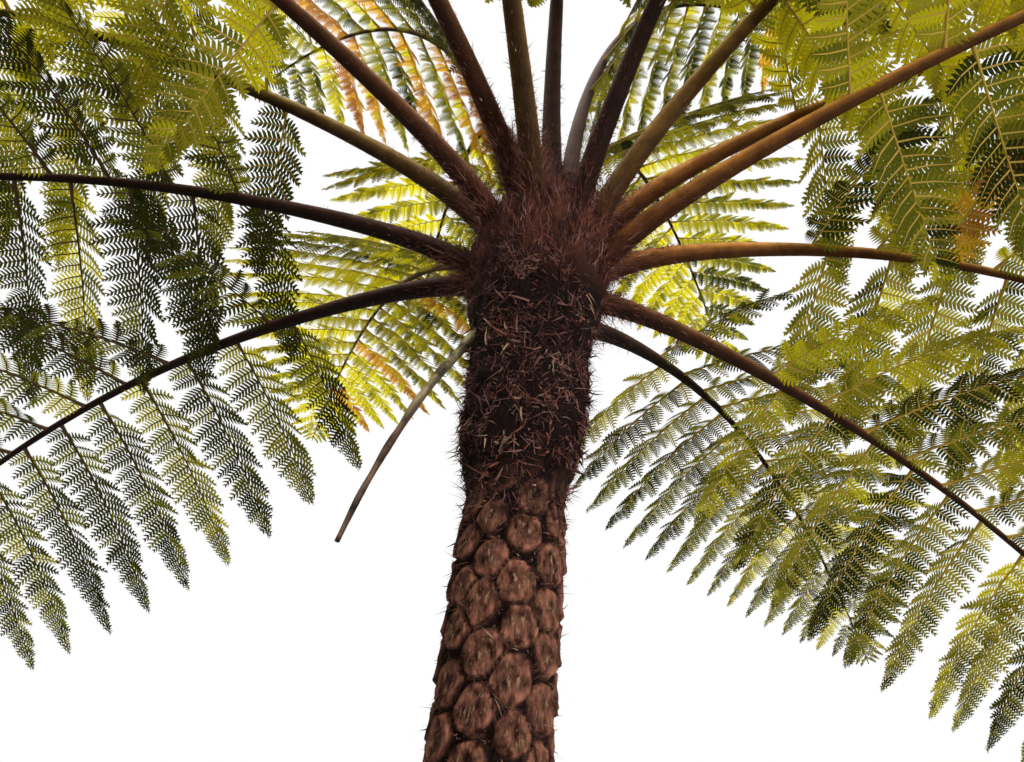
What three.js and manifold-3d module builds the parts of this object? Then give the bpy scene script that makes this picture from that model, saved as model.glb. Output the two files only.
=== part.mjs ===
// A tree fern, rooted, with its whole trunk, a full crown of fronds and one dead stalk.
// Millimetres, +Z up. The origin is the middle of the flat cut under the trunk, at ground level.

import * as THREE from 'three';
import Module from 'manifold-3d';

const wasm = await Module();
wasm.setup();

// Trunk sizes
const CROWN_HEIGHT = 2300;         // height at which the stalks leave the trunk
const LEAN = 225;                  // how far the trunk leans to +X at CROWN_HEIGHT
const TRUNK_TIP = 2465;            // height of the growing tip
const TIP_HEIGHTS = [2390, 2430];  // the last rings under it
const DOME_BOTTOM = 2330;          // where the trunk begins to close over
const TRUNK_RADIUS = 61;           // in the zone of leaf scars
const FLARE = 44;                  // extra radius of the foot at ground level
const FLARE_REACH = 95;            // height over which the foot's flare dies away
const SHAG_BOTTOM = 1900;          // above this, fibres and old scales hide the scars
const SHAG_FULL = 2030;            // where they reach their full thickness
const SHAG_RADIUS = 84;
const SHAG_PITCH = 46;             // height between rings of the shag
const CROWN_BOTTOM = 2130;         // where the trunk widens again towards the stalks
const CROWN_FULL = 2250;
const CROWN_RADIUS = 97;           // at the stalk bases
const SCARS_AROUND = 5;            // in one row, and the next row's lie between them
const FIRST_SCAR = 30;             // height of the lowest row of scars
const SCAR_PITCH = 25;             // height between interlocking rows of scars
const SCAR_RELIEF = 6;
const SHAG_RELIEF = 9;
const CROWN_RELIEF = 2;            // nearly smooth where the stalks sit

// Frond sizes
const STALK_START = 88;            // from the trunk's axis to a level stalk's base
const STEEP_INSET = 28;            // how much nearer to the axis a steep stalk's base is
const STALK_BURIED = 55;           // how far a stalk is carried back before its seat is cut
const STALK_LENGTH = 420;          // bare stalk, up to the first leaflets
const COURSE_STEP = 10;
const ELBOW_ANGLE = 22;            // how much steeper a stalk starts than it runs on
const ELBOW_REACH = 100;
const DROOP_POWER = 1.5;
const RIB_THICK = 36;              // a rib's diameter at the trunk
const RIB_THIN = 10;               // and what it tends to further out
const RIB_TAPER_REACH = 600;
const TIP_TAPER = 0.72;            // share of a rib's thickness lost towards its tip
const BEND_SHARE = 0.53;           // where a frond is split, as a share of its length
const BEND_CLEAR = 25;             // no leaflet's root is nearer to that split
const SEAT_GAP = 0.3;

// Dead stalk: it hangs from the shag, out and down, and ends broken off
const DEAD_AZIMUTH = 195;
const DEAD_BASE = 2168;            // height of its base
const DEAD_OUT = 150;              // how far out from its base its end hangs
const DEAD_DROP = 320;             // and how far below
const DEAD_THICK = 14;
const DEAD_THIN = 6;
const DEAD_BURIED = 12;
const DEAD_SHARES = [-0.06, 0.12, 0.3, 0.5, 0.72, 1];

// Leaflet sizes
const LEAFLET_LONGEST = 500;
const LONGEST_FROND = 2450;        // the frond length that LEAFLET_LONGEST belongs to
const LONGEST_AT = 0.35;           // share of the blade where leaflets are longest
const FIRST_LENGTH = 0.62;         // the first leaflets' length, as a share of the longest
const LEAFLET_SLIM = 0.30;         // width as a share of length, unless spacing allows less
const LEAFLET_FILL = 0.86;         // width as a share of spacing, at most
const LEAFLET_THICK = 5.2;
const FIRST_LEAFLET = 25;          // from the end of the bare stalk to the first leaflet
const SPACING_FIRST = 147;
const SPACING_LAST = 74;
const RIGHT_LATER = 0.3;           // right leaflets leave this share of a spacing further out
const SPLAY_FIRST = 84;            // angle between rib and leaflet
const SPLAY_LAST = 50;
const TURN_TO_BACK = 20;           // how far blades to the left and right are rolled towards +Y
const HANG_AT_ROOT = 0.08;         // downward pull on a leaflet's direction
const HANG_GAIN = 0.42;            // and how much it grows towards the leaflet's tip
const BENT_UP_TO = 0.36;           // share of the blade up to which leaflets have two bends
const TWO_BENDS = { marks: [0.32, 0.70, 1], widths: [1, 0.72, 0] };
const ONE_BEND = { marks: [0.42, 1], widths: [1, 0] };
const TERMINAL_START = 0.93;       // share of the blade where the fused end piece begins
const TERMINAL_WIDE = 1.25;        // its width, as a share of the last leaflets' length
const TERMINAL_ROWS = [{ share: 0.95, wide: 0.3 }, { share: 0.965, wide: 1 }];
const TERMINAL_THICK = 8;
const TILTS = [0, 14, -14, 26, -26, 38];
const REACHES = [1, 0.72];
const LEAFLET_CLEARANCE = 2;       // what a leaflet keeps from another frond

// One row per frond: azimuth, rise and droop in degrees, base height and length in millimetres
const FRONDS = [
  { azimuth: 172, rise: 26, droop: 61, base: 2303, length: 2450 },
  { azimuth: 150, rise: 12, droop: 75, base: 2304, length: 2500 },
  { azimuth: 184, rise: 36, droop: 80, base: 2377, length: 2400 },
  { azimuth: 212, rise: 32, droop: 88, base: 2360, length: 2450 },
  { azimuth: 238, rise: 34, droop: 86, base: 2408, length: 2400 },
  { azimuth: 140, rise: 79, droop: 72, base: 2392, length: 2050 },
  { azimuth: 260, rise: 36, droop: 84, base: 2368, length: 2450 },
  { azimuth: 282, rise: 79, droop: 82, base: 2384, length: 1900 },
  { azimuth: 33, rise: 81, droop: 74, base: 2380, length: 2050 },
  { azimuth: 305, rise: 49, droop: 82, base: 2322, length: 2400 },
  { azimuth: 330, rise: 44, droop: 80, base: 2334, length: 2400 },
  { azimuth: 357, rise: 35, droop: 84, base: 2364, length: 2400 },
  { azimuth: 341, rise: 25, droop: 66, base: 2280, length: 2500 },
  { azimuth: 16, rise: 20, droop: 92, base: 2310, length: 2450 },
  { azimuth: 36, rise: 2, droop: 50, base: 2285, length: 2400 },
  { azimuth: 58, rise: 24, droop: 62, base: 2240, length: 2300 },
  { azimuth: 106, rise: 75, droop: 116, base: 2388, length: 2150 },
  { azimuth: 64, rise: 70, droop: 105, base: 2318, length: 2400 },
  { azimuth: 114, rise: 46, droop: 60, base: 2296, length: 2400 },
];

const UP = new THREE.Vector3(0, 0, 1);
const radians = THREE.MathUtils.degToRad;
const mix = THREE.MathUtils.lerp;
const smooth = THREE.MathUtils.smoothstep;

const TRUNK_FINISH = new THREE.MeshStandardMaterial({ color: 0x4a2c22, roughness: 0.95, metalness: 0 });
const STALK_FINISH = new THREE.MeshStandardMaterial({ color: 0x6b5a2c, roughness: 0.7, metalness: 0 });
const BLADE_FINISH = new THREE.MeshStandardMaterial({ color: 0x6f8f24, roughness: 0.6, metalness: 0 });
const DEAD_FINISH = new THREE.MeshStandardMaterial({ color: 0x6e6459, roughness: 0.95, metalness: 0 });

// Closed mesh from rings of equal count, each ring a list of points; a ring of one point is a tip.
// A latticed one splits its quads both ways in turn, so that raised points stand as pyramids.
function skinRings(rings, latticed = false) {
  const points = rings.flat();
  const starts = [];
  let total = 0;
  for (const ring of rings) {
    starts.push(total);
    total += ring.length;
  }
  const faces = [];
  for (let k = 0; k + 1 < rings.length; k += 1) {
    const near = rings[k].length;
    const far = rings[k + 1].length;
    const count = Math.max(near, far);
    for (let i = 0; i < count; i += 1) {
      const j = (i + 1) % count;
      const a = starts[k] + (near === 1 ? 0 : i);
      const b = starts[k] + (near === 1 ? 0 : j);
      const c = starts[k + 1] + (far === 1 ? 0 : j);
      const d = starts[k + 1] + (far === 1 ? 0 : i);
      if (latticed && near === far && (i + k) % 2 === 0) {
        faces.push([a, b, d], [b, c, d]);
      } else {
        if (a !== b) faces.push([a, b, c]);
        if (c !== d) faces.push([a, c, d]);
      }
    }
  }
  capRing(faces, starts[0], rings[0].length, true);
  capRing(faces, starts[rings.length - 1], rings[rings.length - 1].length, false);
  return { points, faces };
}

function capRing(faces, start, count, reversed) {
  for (let i = 1; i + 1 < count; i += 1) {
    faces.push(reversed ? [start, start + i + 1, start + i] : [start, start + i, start + i + 1]);
  }
}

// Solid from a closed skin, turned so that its faces point out
function solidOf({ points, faces }) {
  let volume = 0;
  for (const [a, b, c] of faces) {
    volume += points[a].dot(new THREE.Vector3().crossVectors(points[b], points[c]));
  }
  const order = volume < 0 ? faces.map(([a, b, c]) => [a, c, b]) : faces;
  const vertProperties = new Float32Array(points.flatMap((p) => [p.x, p.y, p.z]));
  const triVerts = new Uint32Array(order.flat());
  return new wasm.Manifold(new wasm.Mesh({ numProp: 3, vertProperties, triVerts }));
}

function meshOf(solid, name, material) {
  const { vertProperties, triVerts } = solid.getMesh();
  const geometry = new THREE.BufferGeometry();
  geometry.setAttribute('position', new THREE.BufferAttribute(vertProperties, 3));
  geometry.setIndex(new THREE.BufferAttribute(triVerts, 1));
  geometry.computeVertexNormals();
  const mesh = new THREE.Mesh(geometry, material);
  mesh.name = name;
  return mesh;
}

function ringAround({ point, side, normal }, radius, count) {
  const ring = [];
  for (let i = 0; i < count; i += 1) {
    const turn = (2 * Math.PI * (i + 0.5)) / count;
    ring.push(point.clone()
      .addScaledVector(side, radius * Math.cos(turn))
      .addScaledVector(normal, radius * Math.sin(turn)));
  }
  return ring;
}

// Repeatable number from 0 to 1 for a pair of whole numbers
function scatter(i, j) {
  const wave = Math.sin(i * 127.1 + j * 311.7) * 43758.5453;
  return wave - Math.floor(wave);
}

// Trunk

function trunkAxis(height) {
  return new THREE.Vector3((LEAN * height) / CROWN_HEIGHT, 0, height);
}

function trunkRadius(height) {
  const flare = FLARE * Math.exp(-height / FLARE_REACH);
  const shag = (SHAG_RADIUS - TRUNK_RADIUS) * smooth(height, SHAG_BOTTOM, SHAG_FULL);
  const crown = (CROWN_RADIUS - SHAG_RADIUS) * smooth(height, CROWN_BOTTOM, CROWN_FULL);
  const dome = Math.sqrt(1 - smooth(height, DOME_BOTTOM, TRUNK_TIP));
  return (TRUNK_RADIUS + flare + shag + crown) * dome;
}

function trunkHeights() {
  const heights = [0];
  let height = FIRST_SCAR;
  while (height < DOME_BOTTOM) {
    heights.push(height);
    height += height < SHAG_BOTTOM ? SCAR_PITCH : SHAG_PITCH;
  }
  return heights.concat(TIP_HEIGHTS);
}

// Leaf scars are a lattice of bosses, and the fibres above them a rougher, uneven relief
function barkRelief(height, row, column) {
  if (row === 0) return 0;
  if (height < SHAG_BOTTOM) return SCAR_RELIEF * ((column + row) % 2 === 0 ? 0.5 : -0.5);
  const depth = height < CROWN_FULL ? SHAG_RELIEF : CROWN_RELIEF;
  return depth * (scatter(column, row) - 0.5);
}

function trunkSolid(clearance) {
  const columns = 2 * SCARS_AROUND;
  const rings = trunkHeights().map((height, row) => {
    const centre = trunkAxis(height);
    const ring = [];
    for (let column = 0; column < columns; column += 1) {
      const radius = trunkRadius(height) + barkRelief(height, row, column) + clearance;
      const turn = (2 * Math.PI * column) / columns;
      ring.push(new THREE.Vector3(
        centre.x + radius * Math.cos(turn),
        radius * Math.sin(turn),
        height,
      ));
    }
    return ring;
  });
  rings.push([trunkAxis(TRUNK_TIP + clearance)]);
  return solidOf(skinRings(rings, true));
}

// Fronds

function ribRadius(along, length) {
  const taper = RIB_THIN + (RIB_THICK - RIB_THIN) * Math.exp(-along / RIB_TAPER_REACH);
  return (taper / 2) * (1 - TIP_TAPER * (along / length) ** 4);
}

// A rib's course: it starts on the trunk, runs out along its azimuth and droops more and more
function ribCourse(frond) {
  const azimuth = radians(frond.azimuth);
  const outward = new THREE.Vector3(Math.cos(azimuth), Math.sin(azimuth), 0);
  const side = new THREE.Vector3(-Math.sin(azimuth), Math.cos(azimuth), 0);
  const step = COURSE_STEP;
  const count = Math.round(frond.length / step);
  const start = STALK_START - STEEP_INSET * Math.sin(radians(frond.rise)) ** 4;
  const points = [trunkAxis(frond.base).addScaledVector(outward, start)];
  for (let i = 0; i < count; i += 1) {
    const next = points[i].clone().addScaledVector(heading(frond, (i + 0.5) * step, outward), step);
    points.push(next);
  }
  return (along) => {
    const tangent = heading(frond, Math.max(0, along), outward);
    const normal = new THREE.Vector3().crossVectors(tangent, side);
    const place = THREE.MathUtils.clamp(along / step, 0, count);
    const index = Math.min(Math.floor(place), count - 1);
    const point = points[index].clone().lerp(points[index + 1], place - index);
    if (along < 0) point.addScaledVector(tangent, along);
    return { point, tangent, side, normal };
  };
}

function heading(frond, along, outward) {
  const elbow = ELBOW_ANGLE * Math.exp(-along / ELBOW_REACH);
  const bend = frond.droop * (along / frond.length) ** DROOP_POWER;
  const angle = radians(frond.rise + elbow - bend);
  return outward.clone().multiplyScalar(Math.cos(angle)).addScaledVector(UP, Math.sin(angle));
}

// The three lengths of a rib: bare stalk, then the blade's inner and outer parts
function ribLengths(frond) {
  const bend = frond.length * BEND_SHARE;
  return {
    stalk: { from: -STALK_BURIED, to: STALK_LENGTH, stations: 5, sides: 7 },
    inner: { from: STALK_LENGTH + SEAT_GAP, to: bend, stations: 5, sides: 6 },
    outer: { from: bend + SEAT_GAP, to: frond.length, stations: 7, sides: 4 },
  };
}

function ribSolid(frond, course, { from, to, stations, sides }) {
  const rings = [];
  for (let k = 0; k <= stations; k += 1) {
    const along = mix(from, to, k / stations);
    rings.push(ringAround(course(along), ribRadius(Math.max(0, along), frond.length), sides));
  }
  return solidOf(skinRings(rings));
}

// A point on the faceted rib's own middle line
function onRib(course, { from, to, stations }, along) {
  const place = (stations * (along - from)) / (to - from);
  const index = Math.min(Math.floor(place), stations - 1);
  const near = course(mix(from, to, index / stations)).point;
  const far = course(mix(from, to, (index + 1) / stations)).point;
  return near.lerp(far, place - index);
}

// The dead stalk leaves the trunk flatter than it ends, and starts sunk behind its seat
function deadStalkSolid() {
  const azimuth = radians(DEAD_AZIMUTH);
  const outward = new THREE.Vector3(Math.cos(azimuth), Math.sin(azimuth), 0);
  const side = new THREE.Vector3(-Math.sin(azimuth), Math.cos(azimuth), 0);
  const base = trunkAxis(DEAD_BASE).addScaledVector(outward, trunkRadius(DEAD_BASE) - DEAD_BURIED);
  const rings = DEAD_SHARES.map((share) => {
    const out = DEAD_OUT * share * (1.25 - 0.25 * share);
    const down = DEAD_DROP * share * (0.82 + 0.18 * share);
    const point = base.clone().addScaledVector(outward, out).addScaledVector(UP, -down);
    const radius = mix(DEAD_THICK, DEAD_THIN, share) / 2;
    return ringAround({ point, side, normal: outward }, radius, 6);
  });
  return solidOf(skinRings(rings));
}

function bladeShare(frond, along) {
  return (along - STALK_LENGTH) / (frond.length - STALK_LENGTH);
}

function leafletLength(frond, share) {
  const longest = (LEAFLET_LONGEST * frond.length) / LONGEST_FROND;
  const quarter = Math.PI / 2;
  if (share < LONGEST_AT) {
    return longest * mix(FIRST_LENGTH, 1, Math.sin((quarter * share) / LONGEST_AT));
  }
  return longest * Math.cos((quarter * (share - LONGEST_AT)) / (1 - LONGEST_AT)) ** 0.85;
}

function leafletSpacing(share) {
  return mix(SPACING_FIRST, SPACING_LAST, share ** 0.85);
}

// Where leaflets leave the rib, with right ones a little further out than left ones
function leafletPlaces(frond) {
  const places = [];
  const bend = frond.length * BEND_SHARE;
  let along = STALK_LENGTH + FIRST_LEAFLET;
  while (bladeShare(frond, along) < TERMINAL_START) {
    const spacing = leafletSpacing(bladeShare(frond, along));
    for (const [hand, later] of [[-1, 0], [1, RIGHT_LATER]]) {
      const root = along + later * spacing;
      const nearBend = Math.abs(root - bend) < BEND_CLEAR;
      places.push({ along: nearBend ? bend + BEND_CLEAR : root, hand, spacing });
    }
    along += spacing;
  }
  return places;
}

// Three points across a thin blade: two edges, and a low ridge between them
function bladeRow(centre, across, over, width, thick) {
  return [
    centre.clone().addScaledVector(across, width / 2).addScaledVector(over, -thick / 3),
    centre.clone().addScaledVector(across, -width / 2).addScaledVector(over, -thick / 3),
    centre.clone().addScaledVector(over, (thick * 2) / 3),
  ];
}

// A leaflet: it leaves the rib at an angle in the blade's plane, then hangs more and more
function leafletSkin(frond, course, { along, hand, spacing, root }, tilt, reach, clearance) {
  const { tangent, side, normal } = course(along);
  const share = bladeShare(frond, along);
  const splay = radians(mix(SPLAY_FIRST, SPLAY_LAST, share));
  const roll = -TURN_TO_BACK * Math.cos(radians(frond.azimuth));
  const lift = radians(hand * roll + tilt);
  const away = side.clone().multiplyScalar(hand * Math.cos(lift)).addScaledVector(normal, Math.sin(lift));
  const start = tangent.clone().multiplyScalar(Math.cos(splay)).addScaledVector(away, Math.sin(splay));
  const length = leafletLength(frond, share) * reach;
  const width = Math.min(LEAFLET_SLIM * length, LEAFLET_FILL * spacing) + 2 * clearance;
  const thick = LEAFLET_THICK + 2 * clearance;
  const spine = [root];
  const rows = [[spine[0]]];
  const { marks, widths } = share < BENT_UP_TO ? TWO_BENDS : ONE_BEND;
  let reached = 0;
  for (let k = 0; k < marks.length; k += 1) {
    const hang = HANG_AT_ROOT + (HANG_GAIN * (marks[k] + reached)) / 2;
    const run = start.clone().addScaledVector(UP, -hang).normalize();
    const centre = spine[k].clone().addScaledVector(run, (marks[k] - reached) * length);
    spine.push(centre);
    reached = marks[k];
    if (widths[k] === 0) {
      rows.push([centre.addScaledVector(run, clearance)]);
    } else {
      const across = tangent.clone().addScaledVector(run, -tangent.dot(run)).normalize();
      const over = new THREE.Vector3().crossVectors(run, across);
      if (over.z < 0) over.negate();
      rows.push(bladeRow(centre, across, over, widths[k] * width, thick));
    }
  }
  return skinRings(rows);
}

// The last small leaflets, fused into one tapering end piece
function terminalSkin(frond, course) {
  const widest = leafletLength(frond, TERMINAL_START) * TERMINAL_WIDE;
  const rows = TERMINAL_ROWS.map(({ share, wide }) => {
    const { point, side, normal } = course(mix(STALK_LENGTH, frond.length, share));
    return bladeRow(point, side, normal, wide * widest, TERMINAL_THICK);
  });
  rows.push([course(frond.length).point]);
  return skinRings(rows);
}

// Solids already placed, each with its owner and its box, so that a new one can be kept clear
const placed = [];

function boxOf(solid) {
  const { min, max } = solid.boundingBox();
  return new THREE.Box3(new THREE.Vector3(...min), new THREE.Vector3(...max));
}

function place(solid, owner) {
  placed.push({ solid, owner, box: boxOf(solid) });
}

function isClear(solid, owner) {
  const box = boxOf(solid);
  return placed.every((other) => other.owner === owner
    || !box.intersectsBox(other.box)
    || solid.intersect(other.solid).isEmpty());
}

// A leaflet at the first tilt and reach at which it touches nothing of another frond, if any
function fitLeaflet(frond, course, spot, owner) {
  for (const reach of REACHES) {
    for (const tilt of TILTS) {
      const roomy = solidOf(leafletSkin(frond, course, spot, tilt, reach, LEAFLET_CLEARANCE));
      if (isClear(roomy, owner)) {
        return solidOf(leafletSkin(frond, course, spot, tilt, reach, 0));
      }
    }
  }
  return null;
}

// A frond's three solids: leaflets that find no room are left out
function growBlade({ frond, course, lengths, solids }, owner) {
  for (const spot of leafletPlaces(frond)) {
    const part = spot.along < lengths.inner.to ? 'inner' : 'outer';
    spot.root = onRib(course, lengths[part], spot.along);
    const leaflet = fitLeaflet(frond, course, spot, owner);
    if (leaflet !== null) {
      place(leaflet, owner);
      solids[part] = solids[part].add(leaflet);
    }
  }
  const terminal = solidOf(terminalSkin(frond, course));
  place(terminal, owner);
  solids.outer = solids.outer.add(terminal);
}

const trunk = trunkSolid(0);
const trunkSeat = trunkSolid(SEAT_GAP);
const deadStalk = deadStalkSolid().subtract(trunkSeat);
place(trunk, 'trunk');
place(deadStalk, 'dead stalk');

// All ribs are placed first, so that every leaflet keeps clear of them
const fronds = FRONDS.map((frond, owner) => {
  const course = ribCourse(frond);
  const lengths = ribLengths(frond);
  const solids = {
    stalk: ribSolid(frond, course, lengths.stalk).subtract(trunkSeat),
    inner: ribSolid(frond, course, lengths.inner),
    outer: ribSolid(frond, course, lengths.outer),
  };
  Object.values(solids).forEach((solid) => place(solid, owner));
  return { frond, course, lengths, solids };
});
fronds.forEach(growBlade);

const fern = new THREE.Group();
fern.add(meshOf(trunk, 'trunk', TRUNK_FINISH));
fern.add(meshOf(deadStalk, 'dead_stalk', DEAD_FINISH));
fronds.forEach(({ solids }, index) => {
  const number = String(index + 1).padStart(2, '0');
  fern.add(meshOf(solids.stalk, `stalk_${number}`, STALK_FINISH));
  fern.add(meshOf(solids.inner, `blade_${number}_inner`, BLADE_FINISH));
  fern.add(meshOf(solids.outer, `blade_${number}_outer`, BLADE_FINISH));
});

export default fern;
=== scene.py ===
# A rooted tree fern: fine leaves, ribs, hairy stalks and a scarred, shaggy trunk, with its stage.
# Metres, +Z up. The origin is the middle of the flat cut under the trunk, at ground level.

import math
from typing import NamedTuple

import bpy
import numpy as np
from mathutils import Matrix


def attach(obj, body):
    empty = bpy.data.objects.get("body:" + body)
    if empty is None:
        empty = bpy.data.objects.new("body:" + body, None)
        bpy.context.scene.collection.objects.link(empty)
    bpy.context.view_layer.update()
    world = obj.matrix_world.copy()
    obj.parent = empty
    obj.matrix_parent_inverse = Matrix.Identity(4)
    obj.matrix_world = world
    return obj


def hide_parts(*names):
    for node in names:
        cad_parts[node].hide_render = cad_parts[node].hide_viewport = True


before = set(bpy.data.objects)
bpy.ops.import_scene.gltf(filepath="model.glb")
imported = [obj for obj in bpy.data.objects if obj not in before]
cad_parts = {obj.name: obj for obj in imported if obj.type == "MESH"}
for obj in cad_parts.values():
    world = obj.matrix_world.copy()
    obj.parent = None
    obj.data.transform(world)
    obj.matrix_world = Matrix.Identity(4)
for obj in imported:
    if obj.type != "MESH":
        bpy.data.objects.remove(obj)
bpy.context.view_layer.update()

bl_info = {
    "name": "Tree Fern",
    "version": (1, 0, 0),
    "blender": (4, 5, 0),
    "location": "3D View > Sidebar > Tree Fern",
    "description": "Grows the leaves, ribs, stalks and trunk of a rooted tree fern",
    "category": "Object",
}

BODY = "root"
UP = np.array([0.0, 0.0, 1.0])
X_AXIS = np.array([1.0, 0.0, 0.0])
Y_AXIS = np.array([0.0, 1.0, 0.0])
SEED = 7


class Frond(NamedTuple):
    """Azimuth, rise and droop in degrees, base height and length in metres, and finishes."""

    azimuth: float
    rise: float
    droop: float
    base: float
    length: float
    stalk: str
    leaf: str


# The stalk finishes are partly painted light: the lighter golden and tan ones go on the stalks at +X, where
# the light falls, and the darker ones on shaded stalks
FRONDS = [
    Frond(172, 26, 61, 2.303, 2.450, "dusky", "shade"),
    Frond(150, 12, 75, 2.304, 2.500, "dusky", "shade"),
    Frond(184, 36, 80, 2.377, 2.400, "olive", "dull"),
    Frond(212, 32, 88, 2.360, 2.450, "russet", "green"),
    Frond(238, 34, 86, 2.408, 2.400, "russet", "green"),
    Frond(140, 79, 72, 2.392, 2.050, "russet", "browning"),
    Frond(260, 36, 84, 2.368, 2.450, "olive", "green"),
    Frond(282, 79, 82, 2.384, 1.900, "dusky", "upper"),
    Frond(33, 81, 74, 2.380, 2.050, "dusky", "upper"),
    Frond(305, 49, 82, 2.322, 2.400, "dusky", "green"),
    Frond(330, 44, 80, 2.334, 2.400, "golden", "glow"),
    Frond(357, 35, 84, 2.364, 2.400, "tan", "warm"),
    Frond(341, 25, 66, 2.280, 2.500, "tan", "ageing"),
    Frond(16, 20, 92, 2.310, 2.450, "tan", "warm"),
    Frond(36, 2, 50, 2.285, 2.400, "russet", "dull"),
    Frond(58, 24, 62, 2.240, 2.300, "dusky", "dull"),
    Frond(106, 75, 116, 2.388, 2.150, "dusky", "glow"),
    Frond(64, 70, 105, 2.318, 2.400, "dusky", "glow"),
    Frond(114, 46, 60, 2.296, 2.400, "olive", "glow"),
]

LEAF_TINTS = ("deep", "green", "fresh", "lime", "gold", "rust")
LIME = 3
GOLD = 4
RUST = 5


class LeafKind(NamedTuple):
    """How light a frond's leaves are, from 0 deep to 3 lime, and how broad their teeth are. The level is
    partly the leaves' own colour and partly painted light: low for painted shade on fronds seen dark against
    the sky, high for a painted glow on backlit fronds.

    Turning and dead are the shares of its leaflets that have turned gold or are dead.
    """

    level: float
    turning: float
    dead: float
    breadth: float


# Levels partly painted light: the shade kind is dark for painted shade, the glow kind bright for a painted
# glow of backlit leaves
LEAF_KINDS = {
    "shade": LeafKind(0.30, 0.00, 0.01, 0.86),
    "dull": LeafKind(0.95, 0.01, 0.01, 0.96),
    "upper": LeafKind(1.25, 0.05, 0.01, 1.20),
    "green": LeafKind(1.4, 0.02, 0.01, 1.02),
    "warm": LeafKind(1.4, 0.10, 0.03, 1.02),
    "glow": LeafKind(2.3, 0.02, 0.00, 1.25),
    "ageing": LeafKind(2.1, 0.27, 0.05, 1.05),
    "browning": LeafKind(1.2, 0.16, 0.07, 1.15),
}

# The shape rule's fixed shares and steps
COURSE_STEP = 0.01
DROOP_POWER = 1.5
FIRST_LEAFLET = 0.025
RIGHT_LATER = 0.3
LONGEST_AT = 0.35
FIRST_LENGTH = 0.62
TERMINAL_START = 0.93
TERMINAL_END = 0.992
BEND_CLEAR = 0.025
SEAT_GAP = 0.0003
RIB_STATIONS = {"inner": 5, "outer": 7}
BENT_UP_TO = 0.36
TWO_BENDS = (0.32, 0.70, 1.0)
ONE_BEND = (0.42, 1.0)
TILTS = (0, 14, -14, 26, -26, 38)
REACHES = (1.0, 0.72)

# How near a plain blade's tip and the mesh's point have to be to be the same
SAME_POINT = 0.0006

# Spacing of the small leaflets that stand for the plain blade's fused end piece
TIP_SPACING = 0.012
TIP_SPACING_GAIN = 0.25


def metres(name, description, default):
    """A length property."""
    return bpy.props.FloatProperty(
        name=name, description=description, default=default, min=0.0, precision=4,
        unit="LENGTH", subtype="DISTANCE")


def degrees(name, description, default):
    """An angle property, given in degrees."""
    return bpy.props.FloatProperty(
        name=name, description=description, default=math.radians(default),
        unit="ROTATION", subtype="ANGLE")


def share(name, description, default):
    """A plain number property."""
    return bpy.props.FloatProperty(name=name, description=description, default=default, min=0.0)


def whole(name, description, default, least=0):
    """A whole number property."""
    return bpy.props.IntProperty(name=name, description=description, default=default, min=least)


def colour(name, description, default):
    """A colour property, linear red, green and blue."""
    return bpy.props.FloatVectorProperty(
        name=name, description=description, default=default, size=3, min=0.0, max=1.0,
        subtype="COLOR")


class TrunkSizes(bpy.types.PropertyGroup):
    """Sizes of the trunk."""

    crown_height: metres("Crown height", "Height at which the stalks leave the trunk", 2.300)
    lean: metres("Lean", "How far the trunk leans to +X at the crown", 0.225)
    tip_height: metres("Tip height", "Height of the growing tip", 2.465)
    dome_bottom: metres("Dome bottom", "Where the trunk begins to close over", 2.330)
    radius: metres("Radius", "Radius in the zone of leaf scars", 0.061)
    flare: metres("Flare", "Extra radius at ground level", 0.044)
    flare_reach: metres("Flare reach", "Height over which the flare dies away", 0.095)
    shag_bottom: metres("Shag bottom", "Above this, fibres and old scales hide the scars", 1.900)
    shag_full: metres("Shag full", "Where the shag reaches its full thickness", 2.030)
    shag_radius: metres("Shag radius", "Radius of the shaggy zone", 0.084)
    crown_bottom: metres("Crown bottom", "Where the trunk widens again", 2.130)
    crown_full: metres("Crown full", "Where it is widest", 2.250)
    crown_radius: metres("Crown radius", "Radius at the stalk bases", 0.097)
    scars_around: whole("Scars around", "Leaf scars in one row", 5, 3)
    first_scar: metres("First scar", "Height of the lowest row of scars", 0.030)
    scar_pitch: metres("Scar pitch", "Height between interlocking rows of scars", 0.025)
    scar_width: share("Scar width", "Width as a share of the room round the trunk", 0.58)
    scar_height: metres("Scar height", "Height of a leaf scar", 0.050)
    scar_relief: metres("Scar relief", "How far scars stand out from the gaps", 0.0060)
    tufts: whole("Tufts", "Tufts of fibres and scales in the shaggy zone", 2100)
    tuft_fibres: whole("Tuft fibres", "Fibres in one tuft", 11, 1)
    crown_hairs: whole("Crown hairs", "Hairs between the stalk bases", 5000)
    gap_fibres: whole("Gap fibres", "Short fibres between the leaf scars", 15000)


class FrondSizes(bpy.types.PropertyGroup):
    """Sizes of stalks and ribs."""

    stalk_start: metres("Stalk start", "From the trunk's axis to a level stalk's base", 0.088)
    steep_inset: metres("Steep inset", "How much nearer a steep stalk's base is", 0.028)
    stalk_length: metres("Stalk length", "Bare stalk, up to the first leaflets", 0.420)
    elbow_angle: degrees("Elbow angle", "How much steeper a stalk starts than it runs on", 22)
    elbow_reach: metres("Elbow reach", "Distance over which the elbow dies away", 0.100)
    rib_thick: metres("Rib thick", "A rib's diameter at the trunk", 0.036)
    rib_thin: metres("Rib thin", "What the diameter tends to further out", 0.010)
    taper_reach: metres("Taper reach", "Distance over which the rib thins", 0.600)
    tip_taper: share("Tip taper", "Share of the thickness lost towards the tip", 0.72)
    bend_share: share("Bend share", "Where the plain blade is split along a frond", 0.53)
    bristles: whole("Bristles", "Bristles on the base of each stalk", 1300)


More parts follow.
